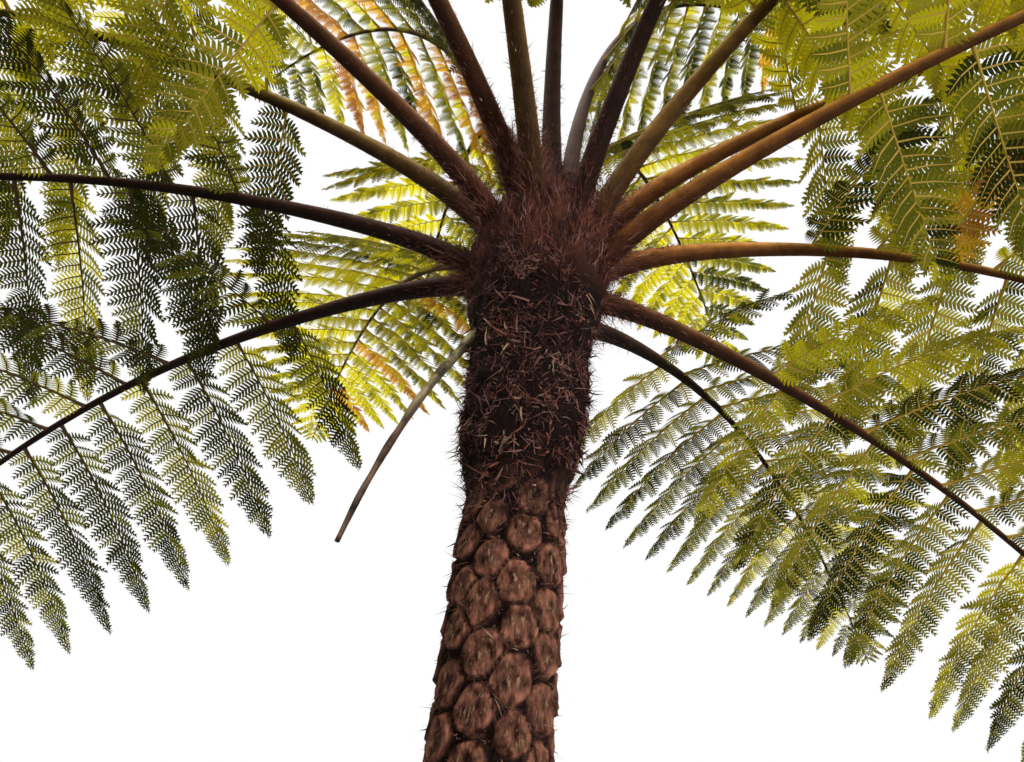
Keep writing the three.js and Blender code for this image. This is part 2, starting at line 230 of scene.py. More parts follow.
class LeafletSizes(bpy.types.PropertyGroup):
    """Sizes of leaflets, their pinnules and the teeth on them."""

    longest: metres("Longest", "Longest leaflet on the longest frond", 0.500)
    longest_frond: metres("Longest frond", "The frond length that it belongs to", 2.450)
    spacing_first: metres("First spacing", "Between leaflets at the stalk", 0.147)
    spacing_last: metres("Last spacing", "Between leaflets at the tip", 0.074)
    splay_first: degrees("First splay", "Angle between rib and leaflet at the stalk", 84)
    splay_last: degrees("Last splay", "Angle between rib and leaflet at the tip", 50)
    turn_to_back: degrees("Turn to back", "Roll of the left and right blades towards +Y", 20)
    slim: share("Slimness", "Width as a share of length, unless spacing allows less", 0.30)
    fill: share("Fill", "Width as a share of spacing, at most", 0.86)
    hang_at_root: share("Hang at root", "Downward pull on a leaflet's direction", 0.08)
    hang_gain: share("Hang gain", "How much the pull grows towards the tip", 0.42)
    costa: metres("Costa", "Diameter of a leaflet's rib at its root", 0.0070)
    pinnule_pitch: metres("Pinnule pitch", "Between pinnules near the root", 0.0290)
    pinnule_excess: share("Pinnule length", "Longest pinnule over half the plain width", 1.46)
    tooth_pitch: metres("Tooth pitch", "Between teeth along a pinnule", 0.0080)
    tooth_length: metres("Tooth length", "Longest tooth of a comb", 0.0178)
    tooth_width: share("Tooth width", "Width of a tooth at its root as a share of the pitch", 0.94)


class FernColours(bpy.types.PropertyGroup):
    """Colours of the leaves, ribs and bark."""

    # From deep to lime the leaf tints are partly the leaves' own colour and partly painted shade and a
    # painted glow of light through backlit leaves
    deep: colour("Deep leaf", "Shaded old leaf", (0.022, 0.030, 0.008))
    green: colour("Green leaf", "Full green leaf", (0.114, 0.126, 0.014))
    fresh: colour("Fresh leaf", "Yellow-green leaf", (0.236, 0.230, 0.022))
    lime: colour("Lime leaf", "Young leaf that glows in the light", (0.440, 0.430, 0.018))
    gold: colour("Gold leaf", "Leaf that is turning", (0.450, 0.255, 0.024))
    rust: colour("Rust leaf", "Dead leaf", (0.270, 0.110, 0.028))
    # Painted light and shade: the same leaflet rib in a lit copy and a shaded copy
    costa_gold: colour("Golden costa", "Leaflet rib in the light", (0.420, 0.290, 0.050))
    costa_brown: colour("Brown costa", "Leaflet rib in the shade", (0.060, 0.034, 0.018))
    bark: colour("Bark", "Face of a leaf scar", (0.162, 0.072, 0.052))
    bundle: colour("Bundle mark", "Pale marks on a leaf scar", (0.330, 0.215, 0.140))
    # The gap tone is partly the dark root fibres between the scars and partly painted shade in the gaps and
    # under the shag
    gap: colour("Gap", "Between the scars and under the fibres", (0.010, 0.005, 0.005))
    fibre: colour("Fibre", "Dark fibres and old scales", (0.040, 0.018, 0.021))
    # The brown fibre tone is partly the scales' own colour and partly a painted highlight on scales in the
    # light
    fibre_brown: colour("Brown fibre", "Brown scales in the light", (0.205, 0.098, 0.090))
    fibre_red: colour("Red fibre", "Russet fibres and bristles", (0.185, 0.062, 0.044))
    chaff: colour("Chaff", "Pale dry scales", (0.400, 0.260, 0.180))
    dead: colour("Dead stalk", "Weathered dead stalk by the trunk", (0.330, 0.300, 0.200))
    dead_brown: colour("Dead stalk end", "The dead stalk further down", (0.110, 0.068, 0.056))


class StageSettings(bpy.types.PropertyGroup):
    """Camera, lights and floor."""

    eye: bpy.props.FloatVectorProperty(
        name="Eye", description="Where the camera stands", default=(0.184, -0.848, 1.506),
        size=3, unit="LENGTH", subtype="TRANSLATION")
    pitch: degrees("Pitch", "How far the camera looks up", 35)
    lens: bpy.props.FloatProperty(
        name="Lens", description="Focal length on a 36 mm sensor", default=27.42, unit="CAMERA")
    light_tone: colour("Light tone", "Colour of the even light", (1.0, 0.96, 0.88))
    sky_low: share("Low light", "Even light from the horizon and below", 0.16)
    sky_high: share("High light", "Even light from above", 0.70)
    backdrop: share("Backdrop", "Brightness of the background behind the plant", 1.0)
    top_light: share("Top light", "Power of the large soft light overhead, in watts", 620.0)
    fill_light: share("Fill light", "Power of the weaker light from the right, in watts", 23.0)
    floor_width: metres("Floor width", "Side of the pale floor", 9.0)


GROUPS = {
    "fern_trunk": TrunkSizes,
    "fern_fronds": FrondSizes,
    "fern_leaflets": LeafletSizes,
    "fern_colours": FernColours,
    "fern_stage": StageSettings,
}


def settings(name):
    """A property group of the scene."""
    return getattr(bpy.context.scene, "fern_" + name)


# Small helpers for numbers and vectors

def mix(a, b, t):
    return a + (b - a) * t


def smoothstep(value, low, high):
    t = np.clip((value - low) / (high - low), 0.0, 1.0)
    return t * t * (3.0 - 2.0 * t)


def unit(vectors):
    return vectors / np.linalg.norm(vectors, axis=-1, keepdims=True)


def column(values):
    return np.asarray(values, float)[:, None]


def turned(first, second, angle):
    """Directions that lie at an angle from the first towards the second."""
    return first * column(np.cos(angle)) + second * column(np.sin(angle))


def dealt(rng, shares, count):
    """Values dealt out by chance, each as often as its share says."""
    return rng.choice(list(shares), count, p=list(shares.values()))


def round_angles(count):
    """Even angles round a full turn."""
    return np.linspace(0.0, math.tau, count, endpoint=False)


def headings(azimuth):
    """The level direction at an azimuth, and the one a quarter turn to its left."""
    outward = np.array([math.cos(azimuth), math.sin(azimuth), 0.0])
    return outward, np.array([-math.sin(azimuth), math.cos(azimuth), 0.0])


def along_curve(at, marks, values):
    """Vectors between the rows of values, whose places are marks."""
    return np.column_stack([np.interp(at, marks, values[:, axis]) for axis in range(3)])


# Shapes

class Shape:
    """Points and faces of one piece, gathered from arrays and made into one mesh."""

    def __init__(self):
        self.points = []
        self.faces = {3: [], 4: []}
        self.tints = {3: [], 4: []}
        self.count = 0

    def add_points(self, points):
        points = np.asarray(points, float).reshape(-1, 3)
        self.points.append(points)
        self.count += len(points)

    def add_faces(self, faces, start, tint=0):
        """Adds faces of three or four corners on the points from number start on."""
        faces = np.asarray(faces, int)
        corners = faces.shape[1]
        self.faces[corners].append(faces + start)
        self.tints[corners].append(np.broadcast_to(tint, len(faces)))

    def add(self, points, faces, tint=0):
        """Adds points with faces on them, all of one tint or one tint each."""
        self.add_faces(faces, self.count, tint)
        self.add_points(points)

    def add_cap(self, start, sides, centre, inward):
        """Closes the ring of points from number start on with a fan round its centre."""
        index = np.arange(sides)
        ring = np.column_stack([index, (index + 1) % sides])
        if inward:
            ring = ring[:, ::-1]
        self.add_faces(np.column_stack([ring, np.full(sides, self.count - start)]), start)
        self.add_points(centre)

    def mesh(self, name, smooth):
        """The gathered points and faces as a mesh."""
        points = np.concatenate(self.points)
        groups = [(k, np.concatenate(f)) for k, f in self.faces.items() if f]
        tints = np.concatenate([np.concatenate(t) for t in self.tints.values() if t])
        corners = np.concatenate([faces.ravel() for _, faces in groups])
        sizes = np.concatenate([np.full(len(faces), k) for k, faces in groups])
        starts = np.concatenate([[0], np.cumsum(sizes)[:-1]])
        mesh = bpy.data.meshes.new(name)
        mesh.vertices.add(len(points))
        mesh.vertices.foreach_set("co", points.astype(np.float32).ravel())
        mesh.loops.add(len(corners))
        mesh.loops.foreach_set("vertex_index", corners.astype(np.int32))
        mesh.polygons.add(len(sizes))
        mesh.polygons.foreach_set("loop_start", starts.astype(np.int32))
        mesh.polygons.foreach_set("material_index", tints.astype(np.int32))
        mesh.polygons.foreach_set("use_smooth", np.full(len(sizes), smooth))
        mesh.update(calc_edges=True)
        return mesh


def add_object(name, data):
    """A new object in the scene for a mesh, light or camera."""
    thing = bpy.data.objects.new(name, data)
    bpy.context.scene.collection.objects.link(thing)
    return thing


def make_piece(shape, name, materials, nodes=(), smooth=False):
    """The shape as a piece of the fern, standing for the named CAD nodes."""
    if name in bpy.data.objects:
        bpy.data.objects.remove(bpy.data.objects[name])
    mesh = shape.mesh(name, smooth)
    for material in materials:
        mesh.materials.append(material)
    piece = add_object(name, mesh)
    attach(piece, BODY)
    if nodes:
        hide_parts(*nodes)
    return piece


def grid_faces(rows, columns):
    """Quads of a grid that closes on itself round its columns."""
    row, col = np.meshgrid(np.arange(rows - 1), np.arange(columns), indexing="ij")
    after = (col + 1) % columns
    corners = [row * columns + col, row * columns + after]
    corners += [(row + 1) * columns + after, (row + 1) * columns + col]
    return np.stack(corners, axis=-1).reshape(-1, 4)


def add_tube(shape, centres, across, over, radii, sides):
    """A closed tube round centres; radii has one value per ring, or one per point of each ring."""
    turns = round_angles(sides)
    radii = np.broadcast_to(np.asarray(radii, float).reshape(len(centres), -1), (len(centres), sides))
    spokes = np.cos(turns)[None, :, None] * across[:, None] + np.sin(turns)[None, :, None] * over[:, None]
    rings = centres[:, None] + radii[:, :, None] * spokes
    start = shape.count
    shape.add(rings, grid_faces(len(centres), sides))
    shape.add_cap(start, sides, centres[0], True)
    shape.add_cap(start + (len(centres) - 1) * sides, sides, centres[-1], False)


STRIP_TAPER = 0.35


def add_strips(shape, roots, ways, sides, bends, lengths, widths, tints, steps=2):
    """Thin tapering strips that bend more and more towards their tips."""
    half = column(widths) / 2.0
    rows = []
    for step in range(steps):
        t = step / steps
        middle = roots + (ways * t + bends * t * t) * column(lengths)
        spread = sides * half * (1.0 - STRIP_TAPER * t)
        rows += [middle - spread, middle + spread]
    rows.append(roots + (ways + bends) * column(lengths))
    base = np.arange(len(roots))[:, None] * len(rows)
    start = shape.count
    last = len(rows) - 1
    shape.add(np.stack(rows, axis=1), base + np.array([[last - 2, last - 1, last]]), tints)
    for first in range(0, last - 2, 2):
        shape.add_faces(base + np.array([[first, first + 1, first + 3, first + 2]]), start, tints)


# Materials

BLACK = (0.0, 0.0, 0.0)
WHITE = (1.0, 1.0, 1.0)
PLAIN_GLOSS = 0.5
LIGHT_THROUGH = 0.42
# Painted shade and painted highlight by which way a surface faces: dark underneath, lighter on top
PAINTED_FACING_SHADES = ((0.10, (0.15, 0.11, 0.11)), (0.36, (0.60, 0.52, 0.48)), (0.56, (1.6, 1.55, 1.35)))


def fill(tree, socket, value):
    """Links a socket to another one, or sets it to a plain number, vector or colour."""
    if isinstance(value, bpy.types.NodeSocket):
        tree.links.new(value, socket)
    elif socket.type == "RGBA":
        socket.default_value = (*value, 1.0)
    else:
        socket.default_value = value


def add_node(tree, kind, inputs=None, **traits):
    """A shader node with its traits, and with its inputs linked or set."""
    node = tree.nodes.new("ShaderNode" + kind)
    for name, value in traits.items():
        setattr(node, name, value)
    for key, value in (inputs or {}).items():
        fill(tree, node.inputs[key], value)
    return node


def new_material(name):
    """A material and its node tree."""
    material = bpy.data.materials.new(name)
    material.use_nodes = True
    return material, material.node_tree


def set_finish(tree, tone, roughness, gloss=PLAIN_GLOSS):
    """Sets the shader's colour, which is a socket or plain, its roughness and its specular level."""
    inputs = tree.nodes["Principled BSDF"].inputs
    fill(tree, inputs["Base Color"], tone)
    fill(tree, inputs["Roughness"], roughness)
    fill(tree, inputs["Specular IOR Level"], gloss)


def object_place(tree):
    """The place on a piece, in object coordinates."""
    return add_node(tree, "TexCoord").outputs["Object"]


def noise(tree, scale, detail, stretch=None, place=None):
    """Noise by place, in object coordinates if none is given, drawn out where stretch says so."""
    if place is None:
        place = object_place(tree)
    if stretch is not None:
        place = add_node(tree, "Mapping", {"Vector": place, "Scale": stretch}).outputs["Vector"]
    return add_node(tree, "TexNoise", {"Vector": place, "Scale": scale, "Detail": detail}).outputs["Fac"]


def ramp(tree, value, stops):
    """A colour ramp; stops are pairs of a place from 0 to 1 and a colour."""
    node = add_node(tree, "ValToRGB", {"Fac": value})
    elements = node.color_ramp.elements
    while len(elements) < len(stops):
        elements.new(0.5)
    for element, (place, tone) in zip(elements, stops):
        element.position = place
        element.color = (*tone, 1.0)
    return node.outputs["Color"]


def vector_math(tree, operation, first, second=None):
    """The result of a vector operation; second is a socket or plain numbers."""
    inputs = {0: first} if second is None else {0: first, 1: second}
    node = add_node(tree, "VectorMath", inputs, operation=operation)
    return node.outputs["Value" if operation in ("LENGTH", "DISTANCE") else "Vector"]


def mixed(tree, factor, a, b, mode="MIX"):
    """Two colours mixed by a value; each colour is a socket or a plain colour."""
    return add_node(tree, "Mix", {0: factor, 6: a, 7: b}, data_type="RGBA", blend_type=mode).outputs[2]


def multiplied(tree, a, b):
    """The product of two colours."""
    return mixed(tree, 1.0, a, b, "MULTIPLY")


def ranged(tree, value, low, high, start=0.0, end=1.0):
    """A number that runs from start to end as the value runs from low to high."""
    inputs = {"Value": value, "From Min": low, "From Max": high, "To Min": start, "To Max": end}
    return add_node(tree, "MapRange", inputs).outputs["Result"]


def upward(tree, vector):
    """The Z of a vector."""
    return add_node(tree, "SeparateXYZ", {"Vector": vector}).outputs["Z"]


def painted_facing_shade(tree, tone):
    """The tone with painted shade on its undersides and a painted highlight on its upper sides, by which way
    the surface faces.
    """
    normal = add_node(tree, "NewGeometry").outputs["Normal"]
    return multiplied(tree, tone, ramp(tree, ranged(tree, upward(tree, normal), -1.0, 1.0), PAINTED_FACING_SHADES))


def bump(tree, height, strength, distance):
    """Fine relief on the tree's shader."""
    node = add_node(tree, "Bump", {"Strength": strength, "Distance": distance, "Height": height})
    tree.links.new(node.outputs["Normal"], tree.nodes["Principled BSDF"].inputs["Normal"])


def blend_shaders(tree, factor, first, second, output):
    """Sends two shaders, mixed by a factor, to the named output node."""
    node = add_node(tree, "MixShader", {"Fac": factor, 1: first, 2: second})
    tree.links.new(node.outputs["Shader"], tree.nodes[output].inputs["Surface"])


def leaf_material(tint):
    """Thin leaf: plain colour, fine bump, and light that comes through it, more yellow."""
    red, green, blue = getattr(settings("colours"), tint)
    material, tree = new_material("leaf_" + tint)
    set_finish(tree, (red, green, blue), 0.75, 0.03)
    bump(tree, noise(tree, 420.0, 3.0), 0.25, 0.001)
    glow = (min(1.0, red * 1.8 + 0.01), min(1.0, green * 1.7 + 0.01), blue * 0.6)
    through = add_node(tree, "BsdfTranslucent", {"Color": glow}).outputs["BSDF"]
    surface = tree.nodes["Principled BSDF"].outputs["BSDF"]
    blend_shaders(tree, LIGHT_THROUGH, surface, through, "Material Output")
    return material


def plain_fibre(name, tone, roughness=0.75):
    """Dry fibre, scale or leaflet rib, in one tone with fine bumps."""
    material, tree = new_material(name)
    set_finish(tree, tone, roughness, 0.12)
    bump(tree, noise(tree, 300.0, 3.0), 0.35, 0.001)
    return material


def fibre_materials():
    """Dark, brown and russet fibre and pale scale, made once."""
    colours = settings("colours")
    # The brown fibre is partly a painted highlight on scales in the light
    tones = {"fibre_dark": colours.fibre, "fibre_brown": colours.fibre_brown,
             "fibre_russet": colours.fibre_red, "scale_pale": colours.chaff}
    return [bpy.data.materials.get(name) or plain_fibre(name, tuple(tone)) for name, tone in tones.items()]


# Tones of each stalk finish at its base, a little further out, and far out. The finishes are partly the
# stalks' own colour and partly painted light: lighter finishes on the stalks at +X, where the light falls,
# and darker ones on shaded stalks.
STALK_TONES = {
    "dusky": ((0.045, 0.017, 0.015), (0.060, 0.028, 0.022), (0.070, 0.036, 0.022)),
    "russet": ((0.085, 0.028, 0.019), (0.190, 0.085, 0.040), (0.200, 0.110, 0.040)),
    "tan": ((0.130, 0.042, 0.022), (0.500, 0.235, 0.060), (0.520, 0.310, 0.070)),
    "olive": ((0.080, 0.034, 0.020), (0.260, 0.170, 0.055), (0.340, 0.270, 0.060)),
    "golden": ((0.085, 0.036, 0.020), (0.340, 0.210, 0.060), (0.640, 0.480, 0.070)),
}
STALK_TONE_MARKS = (0.0, 0.14, 1.0)
# Distances from the trunk's crown at the first and last mark
STALK_TONE_SPAN = (0.08, 1.60)
# Heights from the top of the crown's swelling, between which the trunk's skin turns red
CROWN_TONE_SPAN = (-0.04, 0.03)


def stalk_material(finish):
    """Stalk: dark at its base and lighter further out, mottled, with painted shade on its undersides, a
    painted highlight on its upper sides, and a fine relief.
    """
    trunk = settings("trunk")
    material, tree = new_material("stalk_" + finish)
    crown = (trunk.lean, 0.0, trunk.crown_height)
    away = vector_math(tree, "DISTANCE", object_place(tree), crown)
    tone = ramp(tree, ranged(tree, away, *STALK_TONE_SPAN), tuple(zip(STALK_TONE_MARKS, STALK_TONES[finish])))
    mottle = ramp(tree, noise(tree, 38.0, 5.0), ((0.30, (0.50, 0.46, 0.44)), (0.70, WHITE)))
    # Painted shade on the undersides and a painted highlight on the upper sides
    set_finish(tree, painted_facing_shade(tree, multiplied(tree, tone, mottle)), 0.66, 0.10)
    bump(tree, noise(tree, 330.0, 5.0), 0.9, 0.0022)
    return material


def bark_material():
    """Trunk: each point of the mesh holds its place in its leaf scar, and its share of scar face."""
    colours = settings("colours")
    bark = np.array(colours.bark)
    material, tree = new_material("bark")
    held = add_node(tree, "Attribute", attribute_name="scar_place").outputs["Vector"]
    place = object_place(tree)
    flat = vector_math(tree, "MULTIPLY", held, (1.0, 1.0, 0.0))
    reach = vector_math(tree, "LENGTH", flat)
    rings = ramp(tree, reach, (
        (0.00, 0.80 * bark), (0.50, bark), (0.82, 1.7 * bark), (0.92, 1.1 * bark), (1.00, 0.35 * bark)))
    grain = ramp(tree, noise(tree, 120.0, 8.0, (1.0, 1.0, 0.55)), (
        (0.34, (0.16, 0.12, 0.12)), (0.48, (0.75, 0.70, 0.70)), (0.66, (1.7, 1.6, 1.55))))
    wide = vector_math(tree, "MULTIPLY", flat, (7.0, 2.6, 1.0))
    apart = vector_math(tree, "MULTIPLY", place, (18.0, 18.0, 18.0))
    streaks = noise(tree, 1.0, 3.0, place=vector_math(tree, "ADD", wide, apart))
    pale = ramp(tree, streaks, ((0.56, BLACK), (0.64, WHITE)))
    near = ramp(tree, reach, ((0.35, WHITE), (0.75, BLACK)))
    face = mixed(tree, multiplied(tree, pale, near), multiplied(tree, rings, grain), tuple(colours.bundle))
    low, high = (settings("trunk").crown_full + step for step in CROWN_TONE_SPAN)
    crown = ranged(tree, upward(tree, place), low, high)
    # Painted shade: the skin between the scars and under the shag is near black, turning red towards the
    # crown
    rest = mixed(tree, crown, tuple(colours.gap), tuple(0.5 * value for value in colours.fibre_red))
    set_finish(tree, mixed(tree, upward(tree, held), rest, face), 0.85, 0.10)
    bump(tree, noise(tree, 210.0, 8.0, (1.0, 1.0, 0.5)), 1.0, 0.006)
    return material


def dead_material():
    """Weathered stalk: pale by the trunk and browner towards its end, with dark patches, painted shade on its
    undersides and a painted highlight on its upper sides.
    """
    colours = settings("colours")
    material, tree = new_material("dead_stalk_wood")
    height = ranged(tree, upward(tree, object_place(tree)), DEAD_BASE - DEAD_DROP, DEAD_BASE)
    brown = tuple(colours.dead_brown)
    tone = ramp(tree, height, ((0.0, brown), (0.45, brown), (0.85, tuple(colours.dead))))
    patches = ramp(tree, noise(tree, 34.0, 6.0), (
        (0.38, (0.22, 0.20, 0.20)), (0.50, WHITE), (0.66, (1.5, 1.5, 1.5))))
    # Painted shade on the undersides and a painted highlight on the upper sides
    set_finish(tree, painted_facing_shade(tree, multiplied(tree, tone, patches)), 0.9)
    bump(tree, noise(tree, 200.0, 5.0, (1.0, 1.0, 0.2)), 0.8, 0.003)
    return material


# The frond's rule, the same as the plain solids follow

def trunk_axis(height):
    """Points on the trunk's leaning axis."""
    trunk = settings("trunk")
    height = np.asarray(height, float)
    return np.stack([trunk.lean * height / trunk.crown_height, height * 0.0, height], axis=-1)


def trunk_radius(height):
    """Radius of the plain trunk: flared foot, scar zone, shag, crown and closing dome."""
    trunk = settings("trunk")
    flare = trunk.flare * np.exp(-height / trunk.flare_reach)
    shag = (trunk.shag_radius - trunk.radius) * smoothstep(height, trunk.shag_bottom, trunk.shag_full)
    crown = (trunk.crown_radius - trunk.shag_radius) * smoothstep(
        height, trunk.crown_bottom, trunk.crown_full)
    dome = np.sqrt(1.0 - smoothstep(height, trunk.dome_bottom, trunk.tip_height))
    return (trunk.radius + flare + shag + crown) * dome


class Course:
    """A rib's course: it starts on the trunk, runs out along its azimuth and droops more and more."""

    def __init__(self, frond):
        sizes = settings("fronds")
        self.frond = frond
        self.outward, self.side = headings(math.radians(frond.azimuth))
        inset = sizes.steep_inset * math.sin(math.radians(frond.rise)) ** 4
        start = trunk_axis(frond.base) + self.outward * (sizes.stalk_start - inset)
        count = round(frond.length / COURSE_STEP)
        runs = self.tangent((np.arange(count) + 0.5) * COURSE_STEP) * COURSE_STEP
        self.points = np.vstack([start, start + np.cumsum(runs, axis=0)])
        self.marks = np.arange(count + 1) * COURSE_STEP

    def tangent(self, along):
        sizes = settings("fronds")
        along = np.maximum(np.atleast_1d(along), 0.0)
        elbow = sizes.elbow_angle * np.exp(-along / sizes.elbow_reach)
        bend = math.radians(self.frond.droop) * (along / self.frond.length) ** DROOP_POWER
        angle = math.radians(self.frond.rise) + elbow - bend
        return turned(self.outward, UP, angle)

    def point(self, along):
        along = np.atleast_1d(np.asarray(along, float))
        inside = along_curve(along, self.marks, self.points)
        return inside + self.tangent(0.0) * column(np.minimum(along, 0.0))

    def normal(self, along):
        return np.cross(self.tangent(along), self.side)

    def blade_share(self, along):
        bare = settings("fronds").stalk_length
        return (along - bare) / (self.frond.length - bare)

    def rib_span(self, part):
        """From where to where along the rib a half of the plain blade reaches."""
        sizes = settings("fronds")
        bend = self.frond.length * sizes.bend_share
        if part == "inner":
            return sizes.stalk_length + SEAT_GAP, bend
        return bend + SEAT_GAP, self.frond.length

    def on_plain_rib(self, part, along):
        """A point on the middle line of the plain, faceted rib."""
        low, high = self.rib_span(part)
        marks = np.linspace(low, high, RIB_STATIONS[part] + 1)
        return along_curve([along], marks, self.point(marks))[0]


def rib_radius(along, length):
    """Radius of a stalk and its rib, for a frond of this length."""
    sizes = settings("fronds")
    along = np.maximum(along, 0.0)
    taper = sizes.rib_thin + (sizes.rib_thick - sizes.rib_thin) * np.exp(-along / sizes.taper_reach)
    return taper / 2.0 * (1.0 - sizes.tip_taper * (along / length) ** 4)


def leaflet_length(frond, at):
    """Length of a leaflet at a share of its frond's blade."""
    sizes = settings("leaflets")
    longest = sizes.longest * frond.length / sizes.longest_frond
    quarter = math.pi / 2.0
    if at < LONGEST_AT:
        return longest * mix(FIRST_LENGTH, 1.0, math.sin(quarter * at / LONGEST_AT))
    return longest * math.cos(quarter * (at - LONGEST_AT) / (1.0 - LONGEST_AT)) ** 0.85


class Leaflet(NamedTuple):
    """A leaflet of a frond: its place and hand on the rib, direction, length and width."""

    along: float
    hand: int
    start: np.ndarray
    length: float
    width: float


def leaflet_start(course, along, hand, tilt):
    """The direction in which a leaflet leaves the rib."""
    sizes = settings("leaflets")
    splay = mix(sizes.splay_first, sizes.splay_last, course.blade_share(along))
    roll = -sizes.turn_to_back * math.cos(math.radians(course.frond.azimuth))
    lift = hand * roll + math.radians(tilt)
    away = course.side * hand * math.cos(lift) + course.normal(along)[0] * math.sin(lift)
    return course.tangent(along)[0] * math.cos(splay) + away * math.sin(splay)


def plain_tip(course, part, along, start, length):
    """The tip of a leaflet's plain blade in the solids, which has one or two bends."""
    sizes = settings("leaflets")
    point = course.on_plain_rib(part, along)
    reached = 0.0
    for mark in TWO_BENDS if course.blade_share(along) < BENT_UP_TO else ONE_BEND:
        hang = sizes.hang_at_root + sizes.hang_gain * (mark + reached) / 2.0
        point = point + unit(start - UP * hang) * (mark - reached) * length
        reached = mark
    return point


def node_points(node):
    """The points of one of the solids."""
    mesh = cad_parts[node].data
    points = np.empty(len(mesh.vertices) * 3)
    mesh.vertices.foreach_get("co", points)
    return points.reshape(-1, 3)


def plain_fit(course, part, along, hand, points):
    """Direction and length of the plain blade that the solids have there, or None."""
    full = leaflet_length(course.frond, course.blade_share(along))
    for reach in REACHES:
        for tilt in TILTS:
            start = leaflet_start(course, along, hand, tilt)
            tip = plain_tip(course, part, along, start, full * reach)
            if np.min(np.sum((points - tip) ** 2, axis=1)) < SAME_POINT ** 2:
                return start, full * reach
    return None


def leaflets_of(course, number):
    """The frond's leaflets: those that its plain blades have, then the small ones of its tip."""
    sizes = settings("leaflets")
    frond = course.frond
    bend = course.rib_span("inner")[1]
    points = {part: node_points(f"blade_{number:02d}_{part}") for part in RIB_STATIONS}
    grown = []
    along = settings("fronds").stalk_length + FIRST_LEAFLET
    while course.blade_share(along) < TERMINAL_START:
        at = course.blade_share(along)
        spacing = mix(sizes.spacing_first, sizes.spacing_last, at ** 0.85)
        for hand, later in ((-1, 0.0), (1, RIGHT_LATER)):
            root = along + later * spacing
            if abs(root - bend) < BEND_CLEAR:
                root = bend + BEND_CLEAR
            part = "inner" if root < bend else "outer"
            fit = plain_fit(course, part, root, hand, points[part])
            if fit is not None:
                width = min(sizes.slim * fit[1], sizes.fill * spacing)
                grown.append(Leaflet(root, hand, *fit, width))
        along += spacing
    while course.blade_share(along) < TERMINAL_END:
        length = leaflet_length(frond, course.blade_share(along))
        for hand in (-1, 1):
            start = leaflet_start(course, along, hand, 0.0)
            grown.append(Leaflet(along, hand, start, length, sizes.slim * length))
        along += TIP_SPACING + TIP_SPACING_GAIN * length
    return grown


# Leaves

SPINE_STEPS = 20
# Shares of a leaflet's length: its first pinnule, where they end, and how far out one may start
FIRST_PINNULE = 0.045
PINNULES_END = 0.985
PINNULES_LIMIT = 0.995
CLOSER_AT_TIP = 0.42            # pinnules' spacing at the tip, as a share of that at the root
PINNULE_ANGLES = (84.0, 50.0)   # between leaflet and pinnule, at root and tip
TOOTH_ANGLES = (72.0, 40.0)     # between pinnule and tooth, at root and tip
PINNULE_SWEEP = 0.17            # how far pinnules curve forwards, as a share of their length
SHORTEST_PINNULE = 0.004
# From these leaflet widths up, pinnules have their full spacing and teeth their full length
SPACING_WIDTH = 0.126
TOOTH_WIDTH = 0.12
# From these pinnule lengths up, teeth have their full spacing and their full length
FULL_PITCH_FROM = 0.06
FULL_TOOTH_FROM = 0.045
TOOTH_BASE = 0.0012             # length that every tooth has
MIDRIB_HALF = 0.0013            # half a pinnule's midrib at full length, and the least and most of it
MIDRIB_RANGE = (0.0005, 0.0015)
MIDRIB_BELOW = 0.0006
MIDRIB_ROWS = ((0.0, 1.0), (0.5, 0.8), (0.98, 0.3))
COSTA_MARKS = np.array([0.0, 0.02, 0.05, 0.14, 0.28, 0.45, 0.62, 0.80, 0.985])
COSTA_SWELLING = 0.9
SWELLING_REACH = 0.012
COSTA_TAPER = 0.88
ROUNDER_FROM = 0.36             # leaflets longer than this have ribs of five sides, not four
# The random spread of levels and tints is partly the leaves' own colour and partly painted light and shade
# that differ from leaflet to leaflet and from pinnule to pinnule
LEVEL_SPREAD = 0.82
TINT_SPREAD = 0.60
GOLD_SHARES = {LIME: 0.2, GOLD: 0.7, RUST: 0.1}
RUST_SHARES = {LIME: 0.0, GOLD: 0.2, RUST: 0.8}


class Spine:
    """The middle line of a leaflet, with its directions along, across and over it."""

    def __init__(self, course, leaflet):
        self.marks = np.linspace(0.0, 1.0, SPINE_STEPS + 1)
        middles = (self.marks[1:] + self.marks[:-1]) / 2.0
        runs = self.pulled(leaflet.start, middles) * leaflet.length / SPINE_STEPS
        root = course.point(leaflet.along)[0]
        self.points = np.vstack([root, root + np.cumsum(runs, axis=0)])
        self.along = self.pulled(leaflet.start, self.marks)
        rib = course.tangent(leaflet.along)[0]
        self.across = unit(rib - self.along * column(self.along @ rib))
        self.over = np.cross(self.along, self.across)
        if self.over[:, 2].mean() < 0.0:
            self.over = -self.over

    @staticmethod
    def pulled(start, marks):
        """The leaflet's direction at marks, pulled down more and more."""
        sizes = settings("leaflets")
        return unit(start - np.outer(sizes.hang_at_root + sizes.hang_gain * marks, UP))

    def at(self, marks):
        """Points and the three directions at marks."""
        rows = (self.points, self.along, self.across, self.over)
        return [along_curve(marks, self.marks, values) for values in rows]


def pinnule_marks(leaflet):
    """Where pinnules leave a leaflet's rib, as shares of its length; closer towards the tip."""
    pitch = min(1.0, leaflet.width / SPACING_WIDTH) ** 0.6 * settings("leaflets").pinnule_pitch
    marks = []
    mark = FIRST_PINNULE
    while mark < PINNULES_END:
        marks.append(mark)
        mark += pitch * mix(1.0, CLOSER_AT_TIP, mark ** 1.5) / leaflet.length
    return np.array(marks)


